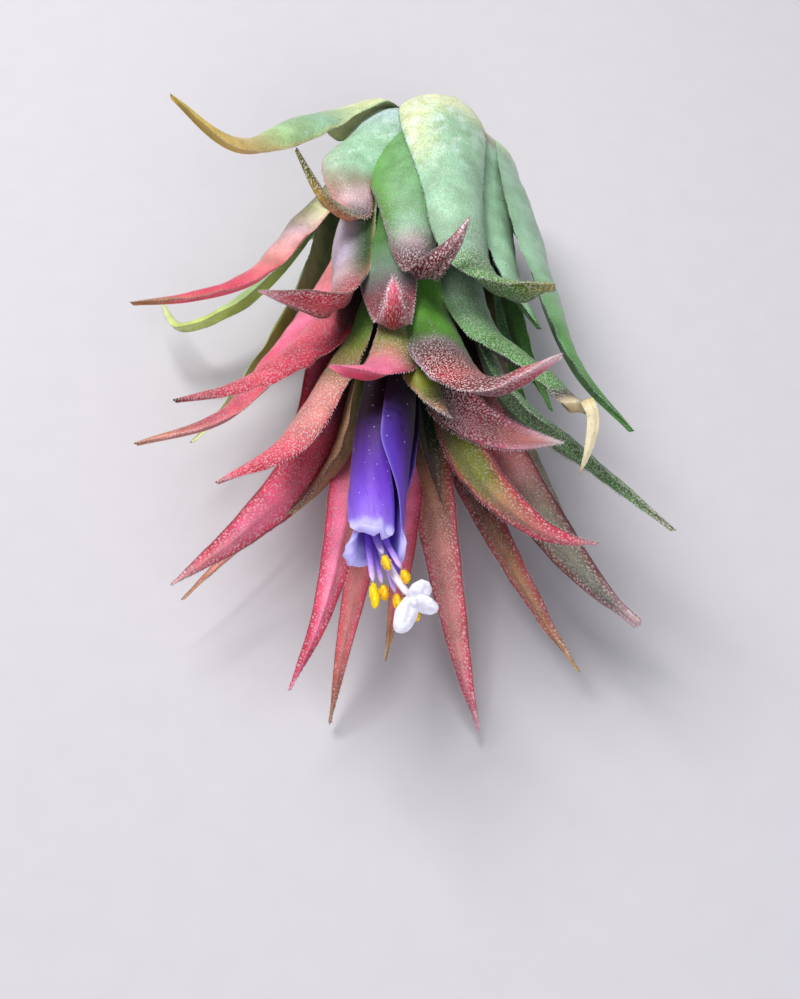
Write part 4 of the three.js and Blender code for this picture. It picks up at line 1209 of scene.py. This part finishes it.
def build_pistil(material):
    heart = np.array(STIGMA)
    points = [flower_middle(along) for along in THREAD_STEPS] + [np.array(STYLE_BEND), heart]
    bm = new_mesh()
    add_ribbon(bm, Path(points), STYLE_HALVES, STYLE_FLATNESS, STYLE_SHADES)
    white = linear(STIGMA_SHADE)
    for i, lobe in enumerate(STIGMA_LOBES):
        reach = np.array(lobe) - heart
        sizes = (0.95, 0.5, np.linalg.norm(reach) * 0.64)
        add_blob(bm, heart + reach * 0.52, reach, sizes, white, 80 + i, 0.035, 48, 0.1)
    add_blob(bm, heart, points[-1] - points[-2], (0.6, 0.5, 0.7), white, 90, 0.03, 36)
    close_up(bm, 1e-7)
    finish_piece(bm, "flower_pistil", "pistil", material)


def make_petal_material():
    material, tree, shader = new_material(
        "petal", Roughness=0.45, Subsurface_Weight=0.15, Subsurface_Radius=(0.8, 0.6, 1.0),
        Subsurface_Scale=0.6 * MM, Sheen_Weight=0.08,
    )
    blotched, lip, _ = separate(tree, attribute(tree, "Coat"))
    streaks = noise_node(tree, stretched(tree, 5.0, 0.55), 1.0, 3)
    blots = noise_node(tree, where_on(tree, "Object"), 1400, 3)
    tint = attribute(tree, "Tint")
    darker = mix_node(tree, 1.0, tint, (0.42, 0.34, 0.6, 1), "MULTIPLY")
    streaky = math_node(tree, "MULTIPLY", ramp_node(tree, streaks, 0.45, 0.75), 0.35)
    blotchy = math_node(tree, "MULTIPLY", ramp_node(tree, blots, 0.5, 0.62), blotched)
    share = math_node(tree, "MAXIMUM", streaky, blotchy)
    share = math_node(tree, "MULTIPLY", share, math_node(tree, "SUBTRACT", 1.0, lip))
    colour = mix_node(tree, share, tint, darker)
    flecks = place_group(
        tree, FLECKS, Place=where_on(tree, "UV"), Density=PETAL_DENSITY, Cells=PETAL_FLECKS,
    )
    colour = mix_node(tree, math_node(tree, "MULTIPLY", flecks["Mask"], 0.6), colour, (0.85, 0.82, 0.95, 1))
    tree.links.new(colour, shader.inputs["Base Color"])
    add_bump(tree, shader, math_node(tree, "MULTIPLY_ADD", streaks, 0.8, blots), 0.04, 0.6)
    return material


def make_thread_material(name, roughness, grain_scale):
    material, tree, shader = new_material(
        name, Roughness=roughness, Subsurface_Weight=0.2, Subsurface_Radius=(1.0, 0.8, 0.8),
        Subsurface_Scale=0.6 * MM,
    )
    grain = noise_node(tree, where_on(tree, "Object"), grain_scale, 3)
    add_mottled_tint(tree, shader, grain, (0.88, 0.82, 0.84, 1))
    add_bump(tree, shader, grain, 0.03, 0.7)
    return material


# Stem

def build_stem(material):
    path = Path(STEM_OUTLINE)
    rings, columns = STEM_GRID
    share = each(np.linspace(0, 1, rings + 1), columns)
    turn = np.tile(np.linspace(0, math.tau, columns + 1), rings + 1)
    out, along = path.at(share).T
    ring_marks = 0.05 * np.sin(along * 5.2) + 0.06 * np.sin(turn * 11 + along * 0.7)
    out = np.maximum(out + ring_marks * np.minimum(out, 1), 0)
    out[:columns + 1] = 0
    out[-columns - 1:] = 0
    azimuth = np.degrees(turn)
    places = station(along, out, azimuth)
    places += (waves(places, 0.7, 5) * 0.06)[:, None] * station(0, 1, azimuth) * (out > 0)[:, None]
    dark, light = (linear(shade) for shade in STEM_SHADES)
    tints = mix(dark, light, np.clip(0.5 + 0.5 * waves(places, 0.6, 6), 0, 1)[:, None])
    bm = new_mesh()
    wrap_sheet(bm, columns, rings, places, tints, turn * 2, share * path.length)
    for azimuth, reach, length in ROOTS:
        run = [(STEM_FOOT / 2, 0.5), (STEM_FOOT, reach * 0.6), (STEM_FOOT - length, reach)]
        root = Path([station(along, out, azimuth) for along, out in run])
        add_ribbon(bm, root, ROOT_HALVES, ROOT_FLATNESS, ROOT_SHADES)
    close_up(bm, 1e-7)
    finish_piece(bm, "plant_stem", "stem", material)


def make_stem_material():
    material, tree, shader = new_material("dry_stem", Roughness=0.85)
    fibres = noise_node(tree, stretched(tree, 9.0, 1.2), 1.0, 4)
    add_mottled_tint(tree, shader, fibres, (0.4, 0.34, 0.28, 1))
    add_bump(tree, shader, fibres, 0.1, 0.8)
    return material


# Floor, light and camera

def build_floor():
    bm = bmesh.new()
    bmesh.ops.create_grid(bm, x_segments=4, y_segments=4, size=1.5)
    mesh = bpy.data.meshes.new("floor")
    bm.to_mesh(mesh)
    bm.free()
    floor = bpy.data.objects.new("floor", mesh)
    bpy.context.scene.collection.objects.link(floor)
    material, tree, shader = new_material("pale_floor", Roughness=0.8)
    grain = noise_node(tree, where_on(tree, "Object"), 300, 3)
    colour = mix_node(tree, grain, (0.53, 0.52, 0.55, 1), (0.56, 0.55, 0.58, 1))
    tree.links.new(colour, shader.inputs["Base Color"])
    mesh.materials.append(material)


def put_up(name, data, place, aim):
    """Links a lamp or a camera that stands at a place and points at its aim."""
    thing = bpy.data.objects.new(name, data)
    thing.location = Vector(place) * MM
    thing.rotation_euler = (Vector(aim) - Vector(place)).to_track_quat("-Z", "Y").to_euler()
    bpy.context.scene.collection.objects.link(thing)
    return thing


def build_set():
    for lamp in LAMPS:
        light = bpy.data.lights.new(lamp["name"], "AREA")
        light.energy = lamp["power"]
        light.size = lamp["size"]
        light.color = lamp["colour"]
        put_up(lamp["name"], light, lamp["place"], LAMP_AIM)
    world = bpy.data.worlds.new("soft_room")
    world.use_nodes = True
    sky = world.node_tree.nodes["Background"]
    sky.inputs["Color"].default_value = SKY_COLOUR
    sky.inputs["Strength"].default_value = SKY_STRENGTH
    scene = bpy.context.scene
    scene.world = world
    lens = bpy.data.cameras.new("camera")
    lens.lens = 50
    lens.clip_start = 0.005
    scene.camera = put_up("camera", lens, CAMERA_PLACE, CAMERA_AIM)
    scene.view_settings.view_transform = "Standard"
    scene.view_settings.look = "Medium High Contrast"


leaf_material = make_leaf_material()
for row_name, row in LEAVES.items():
    for number, leaf in enumerate(row, start=1):
        build_leaf(row_name, number, leaf, row, leaf_material)

petal_material = make_petal_material()
for number, azimuth in enumerate(PETAL_AZIMUTHS, start=1):
    build_petal(number, azimuth, petal_material)
thread_material = make_thread_material("stamen_threads", 0.45, 4000)
for number, stamen in enumerate(STAMENS, start=1):
    build_stamen(number, stamen, thread_material)
build_pistil(make_thread_material("moist_stigma", 0.3, 2500))
build_stem(make_stem_material())

build_floor()
build_set()
